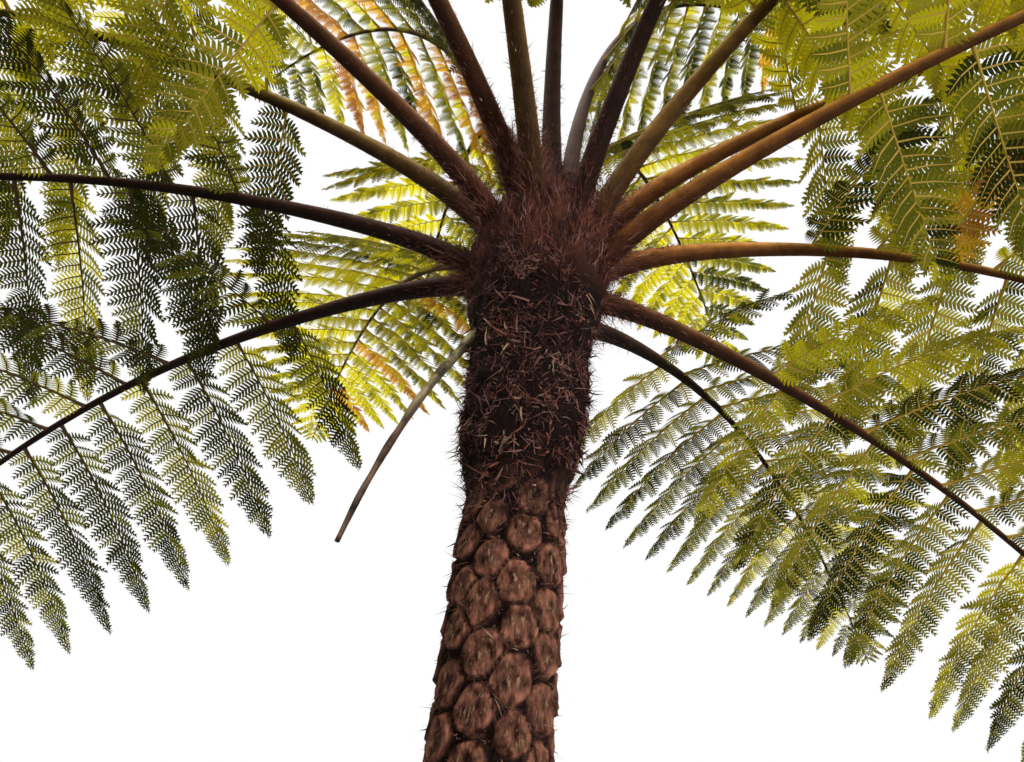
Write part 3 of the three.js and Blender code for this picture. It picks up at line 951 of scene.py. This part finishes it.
def add_combs(leaves, ribs, spine, leaflet, kind, rng):
    """The pinnules of one leaflet, each a comb of teeth on both sides of a thin midrib."""
    sizes = settings("leaflets")
    marks = pinnule_marks(leaflet)
    half_step = 0.5 * sizes.pinnule_pitch / leaflet.length * (1.0 - 0.5 * marks)
    at = np.concatenate([marks, np.minimum(marks + half_step, PINNULES_LIMIT)])
    hand = np.concatenate([np.ones(len(marks)), -np.ones(len(marks))])
    count = len(at)
    points, along, across, over = spine.at(at)
    profile = (0.72 + 0.28 * smoothstep(at, 0.0, 0.22)) * (1.0 - np.minimum(at, 0.999) ** 2.7) ** 0.85
    length = sizes.pinnule_excess * leaflet.width / 2.0 * profile * rng.uniform(0.90, 1.06, count)
    length = np.maximum(length, SHORTEST_PINNULE)
    angle = np.radians(mix(*PINNULE_ANGLES, at ** 1.4) + rng.normal(0.0, 3.0, count))
    out = across * column(hand)
    lift = np.radians(rng.normal(-5.0, 6.0, count))
    twist = np.radians(rng.normal(0.0, 9.0, count))
    level_way = turned(along, out, angle)
    ahead = turned(-out, along, angle)
    way = turned(level_way, over, lift)
    upper = turned(over, -level_way, lift)
    front = turned(ahead, upper, twist)
    upper = turned(upper, -ahead, twist)
    droop = rng.uniform(0.08, 0.26, count)
    tints = dealt_tints(leaflet_level(kind, rng), count, rng)

    def midrib(index, t):
        reach = column(length[index])
        forward = way[index] * reach * column(t) + front[index] * reach * column(PINNULE_SWEEP * t * t)
        return points[index] + forward - upper[index] * reach * column(droop[index] * t * t)

    pitch = sizes.tooth_pitch * np.clip(length / FULL_PITCH_FROM, 0.55, 1.0) ** 0.5
    teeth = np.maximum(2, np.round(length / pitch)).astype(int)
    index = np.repeat(np.arange(count), 2 * teeth)
    number = np.arange(len(index)) - np.repeat(np.cumsum(2 * teeth) - 2 * teeth, 2 * teeth)
    turn = np.where(number % 2 == 0, 1.0, -1.0)
    t = (number // 2 + 0.55) / (teeth[index] + 0.25)
    room = np.clip(leaflet.width / TOOTH_WIDTH, 0.35, 1.0) ** 0.5
    tooth = sizes.tooth_length * room * np.clip(length[index] / FULL_TOOTH_FROM, 0.4, 1.0) ** 0.5
    tooth = tooth * (0.80 + 0.20 * np.minimum(t / 0.2, 1.0)) * (1.0 - np.minimum(t, 0.99) ** 2.8) ** 0.75
    reach = column(tooth + TOOTH_BASE)
    half = way[index] * column(0.5 * sizes.tooth_width * kind.breadth * length[index] / teeth[index])
    rake = np.radians(mix(*TOOTH_ANGLES, t ** 2))
    root = midrib(index, t)
    lean = turned(way[index], front[index] * column(turn), rake) * reach
    sunk = upper[index] * reach
    corners = np.stack([
        root - half,
        root + half,
        root + lean + half * 0.60 - sunk * 0.20,
        root + lean * 0.66 - half * 0.74 - sunk * 0.06], axis=1)
    order = np.arange(len(index))[:, None] * 4 + np.array([[0, 1, 2, 3]])
    outward_turn = np.sign((np.cross(along, across) * over).sum(axis=1))
    flip = turn * hand[index] * outward_turn[index] > 0
    order[flip] = order[flip][:, ::-1]
    leaves.add(corners, order, tints[index])

    width = front * column(np.clip(MIDRIB_HALF * (length / FULL_PITCH_FROM), *MIDRIB_RANGE))
    every = np.arange(count)
    strip = []
    for mark, scale in MIDRIB_ROWS:
        middle = midrib(every, np.full(count, mark)) - upper * MIDRIB_BELOW
        strip += [middle - width * scale, middle + width * scale]
    base = every[:, None] * len(strip)
    quads = np.concatenate([base + np.array([[0, 1, 3, 2]]), base + np.array([[2, 3, 5, 4]])])
    ribs.add(np.stack(strip, axis=1), quads)


def dealt_tints(level, count, rng):
    """Leaf tints of a leaflet's pinnules, dealt out round its level."""
    if level >= GOLD:
        return dealt(rng, GOLD_SHARES if level == GOLD else RUST_SHARES, count)
    return np.clip(np.round(level + rng.normal(0.0, TINT_SPREAD, count)), 0, LIME).astype(int)


def leaflet_level(kind, rng):
    """The level that a leaflet's tints are dealt round."""
    fate = rng.random()
    if fate < kind.dead:
        return RUST
    if fate < kind.dead + kind.turning:
        return GOLD
    return kind.level + rng.normal(0.0, LEVEL_SPREAD)


def add_costa(shape, spine, leaflet):
    """A leaflet's own rib, swollen where it leaves the frond's rib."""
    sizes = settings("leaflets")
    points, _, across, over = spine.at(COSTA_MARKS)
    thick = sizes.costa / 2.0 * (leaflet.length / sizes.longest) ** 0.7
    swelling = 1.0 + COSTA_SWELLING * np.exp(-COSTA_MARKS * leaflet.length / SWELLING_REACH)
    radii = thick * swelling * (1.0 - COSTA_TAPER * COSTA_MARKS ** 0.8)
    add_tube(shape, points, across, over, radii, 5 if leaflet.length > ROUNDER_FROM else 4)


def grow_leaves(number, materials, rib_materials):
    """The leaves and leaflet ribs of one frond."""
    frond = FRONDS[number - 1]
    course = Course(frond)
    rng = np.random.default_rng(SEED * 100 + number)
    leaves = Shape()
    costae = Shape()
    for leaflet in leaflets_of(course, number):
        spine = Spine(course, leaflet)
        add_combs(leaves, costae, spine, leaflet, LEAF_KINDS[frond.leaf], rng)
        add_costa(costae, spine, leaflet)
    nodes = (f"blade_{number:02d}_inner", f"blade_{number:02d}_outer")
    make_piece(leaves, f"leaves_{number:02d}", materials, nodes)
    make_piece(costae, f"leaflet_ribs_{number:02d}", rib_materials, smooth=True)


# Stalks and ribs

STALK_BURIED = 0.02
STALK_STEP = 0.008
STALK_SIDES = 20
RIB_OVERLAP = 0.004
RIB_STEP = 0.022
RIB_SIDES = 10
RIB_SCALE = 0.995
RIM = 0.0006
GROOVE_DEPTH = 0.10
GROOVE_WIDTH = 0.5              # in radians
UNEVEN = 0.008
BRISTLE_SPREAD = 0.075          # distance over which bristles grow rarer
BRISTLE_REACH = 0.36
BRISTLE_START = 0.012           # how far back from the stalk's base they begin
BRISTLE_LENGTHS = (0.007, 0.024)
BRISTLE_WIDTHS = {0.0005: 0.55, 0.0008: 0.37, 0.0018: 0.08}
BRISTLE_TONES = {0: 0.30, 1: 0.24, 2: 0.43, 3: 0.03}
LONG_BRISTLES_TO = 0.08


def rib_stations(low, high, step):
    """Even places along a rib, with one just before each end to keep its rim crisp."""
    marks = np.linspace(low, high, max(3, round((high - low) / step)) + 1)
    return np.concatenate([marks[:1], [low + RIM], marks[1:-1], [high - RIM], marks[-1:]])


def add_rib(shape, course, low, high, step, sides, rng, scale=1.0):
    """A stretch of rib with a shallow groove on top and small uneven swellings."""
    marks = rib_stations(low, high, step)
    turns = round_angles(sides)
    radius = rib_radius(marks, course.frond.length) * scale
    groove = 1.0 - GROOVE_DEPTH * np.exp(-((turns - math.pi / 2.0) / GROOVE_WIDTH) ** 2)
    swell = 1.0 + rng.normal(0.0, UNEVEN, (len(marks), sides))
    radii = column(radius) * groove[None, :] * swell
    side = np.broadcast_to(course.side, (len(marks), 3))
    add_tube(shape, course.point(marks), side, course.normal(marks), radii, sides)


def add_bristles(shape, course, count, rng):
    """Hairs on a stalk's base, dense and long by the trunk and sparse further out."""
    along = rng.exponential(BRISTLE_SPREAD, count)
    along = along[along < BRISTLE_REACH] - BRISTLE_START
    count = len(along)
    radial = turned(course.side, course.normal(along), rng.uniform(0.0, math.tau, count))
    roots = course.point(along) + radial * column(rib_radius(along, course.frond.length) * 0.96)
    ways = radial * column(rng.uniform(0.25, 0.9, count))
    ways = unit(ways + course.tangent(along) * column(rng.normal(0.6, 0.6, count)))
    sides = unit(np.cross(ways, rng.normal(0.0, 1.0, (count, 3))))
    lengths = rng.uniform(*BRISTLE_LENGTHS, count) * np.where(along < LONG_BRISTLES_TO, 1.2, 0.6)
    bends = rng.normal(0.0, 0.25, (count, 3)) - UP * 0.12
    widths = dealt(rng, BRISTLE_WIDTHS, count)
    add_strips(shape, roots, ways, sides, bends, lengths, widths, dealt(rng, BRISTLE_TONES, count))


# Trunk

TRUNK_COLUMNS = 116
TRUNK_ROW = 0.0048
TIP_OPENING = 0.004             # how far below the tip the last ring lies
THINNEST = 0.001
FULL_RELIEF_FROM = 0.03         # radius from which the relief has its full height
FOOT_SPREAD = 0.19              # in radians round the trunk
FOOT_SWELLING = 0.013
SCAR_SHIFTS = (0.045, 0.0028)   # unevenness round the trunk as a share of a scar's room, and upwards
SCAR_SCALES = (0.86, 1.10)
SCAR_SQUARENESS = 2.2
RIM_HEIGHT = 0.0010
SCAR_DOME = 0.0008
CRACK_DEPTH = 0.0016
SCAR_TILT = 0.0018
BARK_ROUGH = 0.0010
BARK_GRAIN = 0.0008
SHAG_ROUGH = 0.0045
SHAG_SUNK = 0.006
LUMP_WAVES = 18
FAR_OFF = 9.0                   # further than any scar, in sizes of a scar
# Heights from a stalk's base between which its foot swells, and ends
FOOT_SWELLS = (-0.13, -0.03)
FOOT_ENDS = (0.0, 0.05)
# Heights from the shag's bottom: where its skin takes over, where its tufts grow dense, and the lowest tufts
SHAG_SKIN = (-0.05, 0.06)
SHAG_THICKENS = (-0.09, 0.08)
SHAG_FROM = -0.07
# Heights from the crown: the highest tufts, and the lowest and highest hairs
SHAG_TO = 0.10
HAIRS_FROM = -0.065
HAIRS_TO = 0.12
# Height of the lowest gap fibres, and how far they go up past the shag's bottom
GAP_FROM = 0.02
GAP_PAST = 0.02
SMOOTH_FOOT = 0.02              # height over which the trunk's relief begins
TUFT_SIZE = 0.007               # how far up and down its fibres lie
TUFT_ANGLE = 0.07               # and how far round the trunk, in radians
SHAG_DEPTHS = (0.003, 0.009)    # how far the roots of fibres and hairs are sunk in
HAIR_DEPTH = 0.004
GAP_DEPTH = 0.005
GAP_TRIES = 5                   # places that are tried for each gap fibre

# Lengths, shares of each width, and shares of the dark, brown, russet and pale fibre
SHAG_LENGTHS = (0.006, 0.018)
SHAG_WIDTHS = {0.0007: 0.50, 0.0014: 0.38, 0.0030: 0.12}
TUFT_TONES = {0: 0.50, 1: 0.35, 2: 0.11, 3: 0.04}
STRAY_TONES = {0: 0.55, 1: 0.30, 2: 0.12, 3: 0.03}
HAIR_LENGTHS = (0.008, 0.024)
HAIR_WIDTHS = {0.0006: 0.45, 0.0012: 0.40, 0.0024: 0.15}
HAIR_TONES = {1: 0.45, 2: 0.52, 3: 0.03}
GAP_LENGTHS = (0.004, 0.016)
GAP_WIDTHS = (0.0006, 0.0018)
GAP_TONES = {0: 0.3, 1: 0.44, 2: 0.14, 3: 0.12}


def scar_lattice(turns, heights, rng):
    """The nearest scar: distance and place as shares of its size, and how near the next one is."""
    trunk = settings("trunk")
    rows = int(trunk.crown_height / trunk.scar_pitch) + 2
    around = trunk.scars_around
    shift = rng.normal(0.0, 1.0, (rows, around, 2)) * SCAR_SHIFTS
    swell = rng.uniform(*SCAR_SCALES, (rows, around))
    u = turns / math.tau * around
    row_at = (heights - trunk.first_scar) / trunk.scar_pitch + 1.0
    best = np.full(turns.shape, FAR_OFF)
    second = np.full(turns.shape, FAR_OFF)
    across = np.zeros(turns.shape)
    upward = np.zeros(turns.shape)
    for step in (-1, 0, 1, 2):
        row = np.clip(np.floor(row_at).astype(int) + step, 0, rows - 1)
        offset = 0.5 * (row % 2)
        nearest = np.round(u - offset).astype(int)
        for nudge in (-1, 0, 1):
            place = (nearest + nudge) % around
            aside, higher = np.moveaxis(shift[row, place], -1, 0)
            dx = (u - offset - nearest - nudge - aside) / (trunk.scar_width / 2.0) / swell[row, place]
            dz = (row_at - row) * trunk.scar_pitch - higher
            dz = dz / (trunk.scar_height / 2.0) / swell[row, place]
            distance = np.abs(dx) ** SCAR_SQUARENESS + np.abs(dz) ** SCAR_SQUARENESS
            distance = distance ** (1.0 / SCAR_SQUARENESS)
            nearer = distance < best
            second = np.where(nearer, best, np.minimum(second, distance))
            best = np.where(nearer, distance, best)
            across = np.where(nearer, dx, across)
            upward = np.where(nearer, dz, upward)
    return best, second, across, upward


def lumps(turns, heights, rng, scale):
    """Smooth uneven relief from a few sums of sines, repeating round the trunk."""
    total = np.zeros(turns.shape)
    for _ in range(LUMP_WAVES):
        around = rng.integers(2, 14)
        upward = rng.uniform(0.2, 1.0) * scale
        phase = rng.uniform(0.0, math.tau, 2)
        total += np.sin(around * turns + phase[0]) * np.sin(upward * heights + phase[1])
    return total / math.sqrt(LUMP_WAVES)


def stalk_feet(turns, heights):
    """How far the foot of a stalk swells out of the trunk below its base, from 0 to 1."""
    swelling = np.zeros(np.shape(turns))
    for frond in FRONDS:
        apart = np.angle(np.exp(1j * (turns - math.radians(frond.azimuth)))) / FOOT_SPREAD
        below = smoothstep(heights - frond.base, *FOOT_SWELLS)
        above = 1.0 - smoothstep(heights - frond.base, *FOOT_ENDS)
        swelling = np.maximum(swelling, np.exp(-apart ** 2) * below * above)
    return swelling


def trunk_relief(turns, heights, rng):
    """Relief of the trunk's surface, and each point's place in its scar and share of scar face."""
    trunk = settings("trunk")
    distance, second, across, upward = scar_lattice(turns, heights, rng)
    rough = lumps(turns, heights, rng, 260.0)
    distance = distance + 0.07 * rough
    plate = (1.0 - smoothstep(distance, 0.84, 1.04)) * smoothstep(second - distance, 0.0, 0.20)
    rim = np.exp(-((distance - 0.80) / 0.12) ** 2)
    dome = 1.0 - np.minimum(distance, 1.0) ** 2
    crack = np.exp(-((across + 0.10 * rough) / 0.12) ** 2) * np.exp(-(upward / 0.6) ** 2)
    scar = trunk.scar_relief * (plate - 0.5) + RIM_HEIGHT * rim * plate + SCAR_DOME * dome
    scar = scar - CRACK_DEPTH * crack - SCAR_TILT * upward * plate
    scar = scar + BARK_ROUGH * rough + BARK_GRAIN * lumps(turns, heights, rng, 420.0)
    shaggy = smoothstep(heights - trunk.shag_bottom, *SHAG_SKIN)
    shag = SHAG_ROUGH * lumps(turns, heights, rng, 150.0) - SHAG_SUNK
    foot = smoothstep(heights, 0.0, SMOOTH_FOOT)
    relief = mix(scar, shag, shaggy) * foot + FOOT_SWELLING * stalk_feet(turns, heights)
    return relief, np.stack([across, upward, plate * (1.0 - shaggy)], axis=-1)


def add_trunk(shape, rng):
    """The trunk's skin, from the flat cut to its tip; returns each point's place in its scar."""
    trunk = settings("trunk")
    top = trunk.tip_height - TIP_OPENING
    levels = np.linspace(0.0, top, round(top / TRUNK_ROW) + 1)
    heights, turns = np.meshgrid(levels, round_angles(TRUNK_COLUMNS), indexing="ij")
    relief, places = trunk_relief(turns, heights, rng)
    plain = trunk_radius(heights)
    radius = np.maximum(plain + relief * np.minimum(1.0, plain / FULL_RELIEF_FROM), THINNEST)
    points = trunk_axis(heights)
    points[..., 0] += radius * np.cos(turns)
    points[..., 1] += radius * np.sin(turns)
    shape.add(points, grid_faces(len(levels), TRUNK_COLUMNS))
    shape.add_cap(0, TRUNK_COLUMNS, trunk_axis(0.0), True)
    last = (len(levels) - 1) * TRUNK_COLUMNS
    shape.add_cap(last, TRUNK_COLUMNS, trunk_axis(trunk.tip_height), False)
    return np.concatenate([places.reshape(-1, 3), np.zeros((2, 3))])


def round_trunk(turn, height, inset):
    """Points on the trunk, and the directions out of it and round it."""
    radial = turned(X_AXIS, Y_AXIS, turn)
    around = turned(Y_AXIS, -X_AXIS, turn)
    return trunk_axis(height) + radial * column(trunk_radius(height) - inset), radial, around


def add_shag(shape, rng):
    """Tufts of curled fibres and old scales between the scars and the crown."""
    trunk = settings("trunk")
    heights = rng.uniform(trunk.shag_bottom + SHAG_FROM, trunk.crown_height + SHAG_TO, trunk.tufts)
    kept = rng.random(trunk.tufts) < smoothstep(heights - trunk.shag_bottom, *SHAG_THICKENS)
    heights = heights[kept]
    tufts = len(heights)
    turn = rng.uniform(0.0, math.tau, tufts)
    drop = np.where(rng.random(tufts) < 0.7, -0.9, 0.8) * rng.uniform(0.3, 1.0, tufts)
    tumble = rng.normal(0.0, 0.45, tufts)
    tone = dealt(rng, TUFT_TONES, tufts)
    tuft = np.repeat(np.arange(tufts), trunk.tuft_fibres)
    count = len(tuft)
    height = heights[tuft] + rng.normal(0.0, TUFT_SIZE, count)
    spot = turn[tuft] + rng.normal(0.0, TUFT_ANGLE, count)
    low, high = SHAG_DEPTHS
    roots, radial, around = round_trunk(spot, height, high - rng.uniform(0.0, high - low, count))
    stands = rng.uniform(0.10, 0.6, count)
    level = tumble[tuft] + rng.normal(0.0, 0.6, count)
    rises = drop[tuft] + rng.normal(0.0, 0.4, count)
    ways = unit(radial * column(stands) + around * column(level) + UP * column(rises))
    sides = unit(np.cross(ways, radial + rng.normal(0.0, 0.5, (count, 3))))
    same = rng.random(count) < 0.7
    tints = np.where(same, tone[tuft], dealt(rng, STRAY_TONES, count))
    lengths = rng.uniform(*SHAG_LENGTHS, count)
    widths = dealt(rng, SHAG_WIDTHS, count)
    bends = unit(rng.normal(0.0, 1.0, (count, 3)) - radial * 0.6) * column(rng.uniform(0.4, 1.5, count))
    add_strips(shape, roots, ways, sides, bends, lengths, widths, tints, 3)


def add_crown_hairs(shape, count, rng):
    """Hairs that lie upwards on the feet of the stalks, and hide the trunk's skin between them."""
    trunk = settings("trunk")
    heights = rng.uniform(trunk.crown_height + HAIRS_FROM, trunk.crown_height + HAIRS_TO, count)
    turn = rng.uniform(0.0, math.tau, count)
    swelling = stalk_feet(turn, heights)
    roots, radial, around = round_trunk(turn, heights, HAIR_DEPTH - FOOT_SWELLING * swelling)
    ways = UP + radial * column(rng.uniform(0.1, 0.4, count))
    ways = unit(ways + around * column(rng.normal(0.0, 0.30, count)))
    sides = unit(np.cross(ways, radial + rng.normal(0.0, 0.4, (count, 3))))
    bends = rng.normal(0.0, 0.25, (count, 3))
    lengths = rng.uniform(*HAIR_LENGTHS, count)
    widths = dealt(rng, HAIR_WIDTHS, count)
    light = rng.random(count) < 0.15 + 0.55 * swelling
    tints = np.where(light, dealt(rng, HAIR_TONES, count), 0)
    add_strips(shape, roots, ways, sides, bends, lengths, widths, tints)


def add_gap_fibres(shape, count, rng):
    """Short fibres out of the gaps between the leaf scars, pointing mostly down."""
    trunk = settings("trunk")
    heights = rng.uniform(GAP_FROM, trunk.shag_bottom + GAP_PAST, count * GAP_TRIES)
    turn = rng.uniform(0.0, math.tau, count * GAP_TRIES)
    distance, second, _, _ = scar_lattice(turn, heights, np.random.default_rng(SEED))
    between = (distance > 0.90) | (second - distance < 0.08)
    gaps = np.flatnonzero(between | (rng.random(len(turn)) < 0.07))[:count]
    heights, turn = heights[gaps], turn[gaps]
    count = len(heights)
    roots, radial, around = round_trunk(turn, heights, np.where(distance[gaps] > 0.9, GAP_DEPTH, 0.0))
    ways = radial * column(rng.uniform(0.3, 1.1, count))
    ways = ways + around * column(rng.normal(0.0, 0.5, count))
    ways = unit(ways - UP * column(rng.uniform(-0.3, 1.0, count)))
    sides = unit(np.cross(ways, radial))
    lengths = rng.uniform(*GAP_LENGTHS, count)
    bends = -radial * column(rng.uniform(0.0, 0.5, count)) + rng.normal(0.0, 0.4, (count, 3))
    widths = rng.uniform(*GAP_WIDTHS, count)
    add_strips(shape, roots, ways, sides, bends, lengths, widths, dealt(rng, GAP_TONES, count))


# Dead stalk

DEAD_AZIMUTH = math.radians(195.0)
DEAD_BASE = 2.168
DEAD_OUT = 0.150
DEAD_DROP = 0.320
DEAD_THICK = 0.014
DEAD_THIN = 0.006
DEAD_BURIED = 0.012
DEAD_START = -0.06
DEAD_ROWS = 60
DEAD_SIDES = 14
DEAD_KINK = 0.0030
DEAD_RIDGES = 0.10
DEAD_UNEVEN = 0.02


def add_dead_stalk(shape, rng):
    """A withered stalk: it hangs out and down from the shag, shrunken and ridged, broken at its end."""
    outward, side = headings(DEAD_AZIMUTH)
    base = trunk_axis(DEAD_BASE) + outward * (float(trunk_radius(DEAD_BASE)) - DEAD_BURIED)
    t = np.linspace(DEAD_START, 1.0, DEAD_ROWS)
    out = DEAD_OUT * t * (1.25 - 0.25 * t)
    down = DEAD_DROP * t * (0.82 + 0.18 * t)
    kinks = DEAD_KINK * np.sin(9.0 * t) * np.sin(23.0 * t + 1.0)
    centres = base + np.outer(out, outward) - np.outer(down, UP) + np.outer(kinks, side)
    ridges = 1.0 + DEAD_RIDGES * np.cos(5.0 * round_angles(DEAD_SIDES)[None, :] + 2.5 * column(t))
    ridges = ridges + rng.normal(0.0, DEAD_UNEVEN, (DEAD_ROWS, DEAD_SIDES))
    radii = column(mix(DEAD_THICK, DEAD_THIN, t) / 2.0 * (1.0 + 0.10 * np.sin(31.0 * t))) * ridges
    across = np.broadcast_to(side, (DEAD_ROWS, 3))
    runs = np.gradient(centres, axis=0)
    over = unit(outward - runs * column((runs @ outward) / (runs ** 2).sum(axis=1)))
    add_tube(shape, centres, across, over, radii, DEAD_SIDES)


# Operators

SENSOR_WIDTH = 36.0
CLIP_START = 0.02
SKY_BAND = (-0.1, 0.8)          # Z of the directions between which the even light grows
FLOOR_TONE = (0.62, 0.61, 0.59)


class Lamp(NamedTuple):
    """A round soft light: place and width in metres, turn and spread in degrees."""

    place: tuple
    turn: tuple
    width: float
    spread: float


LAMPS = {
    "top_light": Lamp((0.2, 0.3, 7.5), (0, 0, 0), 7.0, 180),
    "fill_light": Lamp((2.6, -2.4, 1.6), (102, 0, 49), 1.2, 100),
}


class FERN_OT_stage(bpy.types.Operator):
    """Set up the camera, the even light, the two soft lights and the pale floor"""

    bl_idname = "fern.stage"
    bl_label = "Stage"

    def execute(self, context):
        stage = settings("stage")
        camera = bpy.data.cameras.new("fern_camera")
        camera.sensor_width = SENSOR_WIDTH
        camera.lens = stage.lens
        camera.clip_start = CLIP_START
        holder = add_object("fern_camera", camera)
        holder.location = stage.eye
        holder.rotation_euler = (math.radians(90.0) + stage.pitch, 0.0, 0.0)
        context.scene.camera = holder
        context.scene.world = self.lit_world(stage)
        for name, lamp in LAMPS.items():
            self.add_light(name, lamp, getattr(stage, name), stage.light_tone)
        self.add_floor(stage)
        context.scene.view_settings.view_transform = "Standard"
        return {"FINISHED"}

    @staticmethod
    def lit_world(stage):
        """A world with even light that is stronger from above, behind a plain backdrop."""
        world = bpy.data.worlds.new("fern_world")
        world.use_nodes = True
        tree = world.node_tree
        height = upward(tree, add_node(tree, "TexCoord").outputs["Generated"])
        even = tree.nodes["Background"]
        fill(tree, even.inputs["Color"], stage.light_tone)
        fill(tree, even.inputs["Strength"], ranged(tree, height, *SKY_BAND, stage.sky_low, stage.sky_high))
        seen = add_node(tree, "Background", {"Color": WHITE, "Strength": stage.backdrop})
        camera_ray = add_node(tree, "LightPath").outputs["Is Camera Ray"]
        blend_shaders(
            tree, camera_ray, even.outputs["Background"], seen.outputs["Background"], "World Output")
        return world

    @staticmethod
    def add_light(name, lamp, power, tone):
        light = bpy.data.lights.new(name, "AREA")
        light.shape = "DISK"
        light.size = lamp.width
        light.spread = math.radians(lamp.spread)
        light.energy = power
        light.color = tone
        holder = add_object(name, light)
        holder.location = lamp.place
        holder.rotation_euler = [math.radians(angle) for angle in lamp.turn]

    @staticmethod
    def add_floor(stage):
        corners = np.array([(-1, -1, 0), (1, -1, 0), (1, 1, 0), (-1, 1, 0)])
        shape = Shape()
        shape.add(corners * stage.floor_width / 2.0, [[0, 1, 2, 3]])
        floor = add_object("floor", shape.mesh("floor", False))
        material, tree = new_material("pale_floor")
        set_finish(tree, FLOOR_TONE, 0.9)
        floor.data.materials.append(material)


class FERN_OT_trunk(bpy.types.Operator):
    """Make the trunk with its lattice of leaf scars"""

    bl_idname = "fern.trunk"
    bl_label = "Trunk"

    def execute(self, context):
        shape = Shape()
        places = add_trunk(shape, np.random.default_rng(SEED))
        piece = make_piece(shape, "trunk_bark", [bark_material()], ("trunk",), smooth=True)
        attribute = piece.data.attributes.new("scar_place", "FLOAT_VECTOR", "POINT")
        attribute.data.foreach_set("vector", places.astype(np.float32).ravel())
        return {"FINISHED"}


class FERN_OT_shag(bpy.types.Operator):
    """Cover the upper trunk with fibres and scales, and the gaps between the scars"""

    bl_idname = "fern.shag"
    bl_label = "Fibres and scales"

    def execute(self, context):
        rng = np.random.default_rng(SEED + 1)
        shag = Shape()
        add_shag(shag, rng)
        add_crown_hairs(shag, settings("trunk").crown_hairs, rng)
        gaps = Shape()
        add_gap_fibres(gaps, settings("trunk").gap_fibres, rng)
        make_piece(shag, "trunk_shag", fibre_materials())
        make_piece(gaps, "trunk_gap_fibres", fibre_materials())
        return {"FINISHED"}


class FERN_OT_stalks(bpy.types.Operator):
    """Make the bare stalks, with bristles on their bases"""

    bl_idname = "fern.stalks"
    bl_label = "Stalks"

    def execute(self, context):
        sizes = settings("fronds")
        finishes = {name: stalk_material(name) for name in STALK_TONES}
        bristles = Shape()
        for number, frond in enumerate(FRONDS, 1):
            rng = np.random.default_rng(SEED * 50 + number)
            course = Course(frond)
            stalk = Shape()
            add_rib(stalk, course, -STALK_BURIED, sizes.stalk_length, STALK_STEP, STALK_SIDES, rng)
            finish = [finishes[frond.stalk]]
            nodes = (f"stalk_{number:02d}",)
            make_piece(stalk, f"stalk_skin_{number:02d}", finish, nodes, smooth=True)
            rib = Shape()
            start = sizes.stalk_length - RIB_OVERLAP
            add_rib(rib, course, start, frond.length, RIB_STEP, RIB_SIDES, rng, RIB_SCALE)
            make_piece(rib, f"rib_{number:02d}", finish, smooth=True)
            add_bristles(bristles, course, sizes.bristles, rng)
        make_piece(bristles, "stalk_bristles", fibre_materials())
        return {"FINISHED"}


class FERN_OT_foliage(bpy.types.Operator):
    """Grow the fine leaves and leaflet ribs of every frond"""

    bl_idname = "fern.foliage"
    bl_label = "Foliage"

    def execute(self, context):
        colours = settings("colours")
        leaves = [leaf_material(tint) for tint in LEAF_TINTS]
        # Painted light and shade: fronds of the shade kind take the shaded rib copy, all others the lit one
        gold = plain_fibre("costa_gold", tuple(colours.costa_gold), 0.5)
        brown = plain_fibre("costa_brown", tuple(colours.costa_brown), 0.5)
        for number, frond in enumerate(FRONDS, 1):
            grow_leaves(number, leaves, [brown if frond.leaf == "shade" else gold])
        return {"FINISHED"}


class FERN_OT_dead_stalk(bpy.types.Operator):
    """Make the withered stalk that hangs from the upper trunk"""

    bl_idname = "fern.dead_stalk"
    bl_label = "Dead stalk"

    def execute(self, context):
        shape = Shape()
        add_dead_stalk(shape, np.random.default_rng(SEED + 2))
        nodes = ("dead_stalk",)
        make_piece(shape, "dead_stalk_withered", [dead_material()], nodes, smooth=True)
        return {"FINISHED"}


OPERATORS = (
    FERN_OT_stage, FERN_OT_trunk, FERN_OT_shag, FERN_OT_stalks, FERN_OT_foliage, FERN_OT_dead_stalk)


class FERN_PT_panel(bpy.types.Panel):
    """The fern's operators and settings"""

    bl_label = "Tree Fern"
    bl_idname = "FERN_PT_panel"
    bl_space_type = "VIEW_3D"
    bl_region_type = "UI"
    bl_category = "Tree Fern"

    def draw(self, context):
        for operator in OPERATORS:
            self.layout.operator(operator.bl_idname)
        for name, group in GROUPS.items():
            box = self.layout.box()
            for field in group.__annotations__:
                box.prop(getattr(context.scene, name), field)


def register():
    for group in GROUPS.values():
        bpy.utils.register_class(group)
    for name, group in GROUPS.items():
        setattr(bpy.types.Scene, name, bpy.props.PointerProperty(type=group))
    for item in (*OPERATORS, FERN_PT_panel):
        bpy.utils.register_class(item)


def unregister():
    for item in (FERN_PT_panel, *reversed(OPERATORS)):
        bpy.utils.unregister_class(item)
    for name, group in GROUPS.items():
        delattr(bpy.types.Scene, name)
        bpy.utils.unregister_class(group)


def main():
    """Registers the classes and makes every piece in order."""
    register()
    bpy.ops.fern.stage()
    bpy.ops.fern.trunk()
    bpy.ops.fern.shag()
    bpy.ops.fern.stalks()
    bpy.ops.fern.foliage()
    bpy.ops.fern.dead_stalk()


if __name__ == "__main__":
    main()
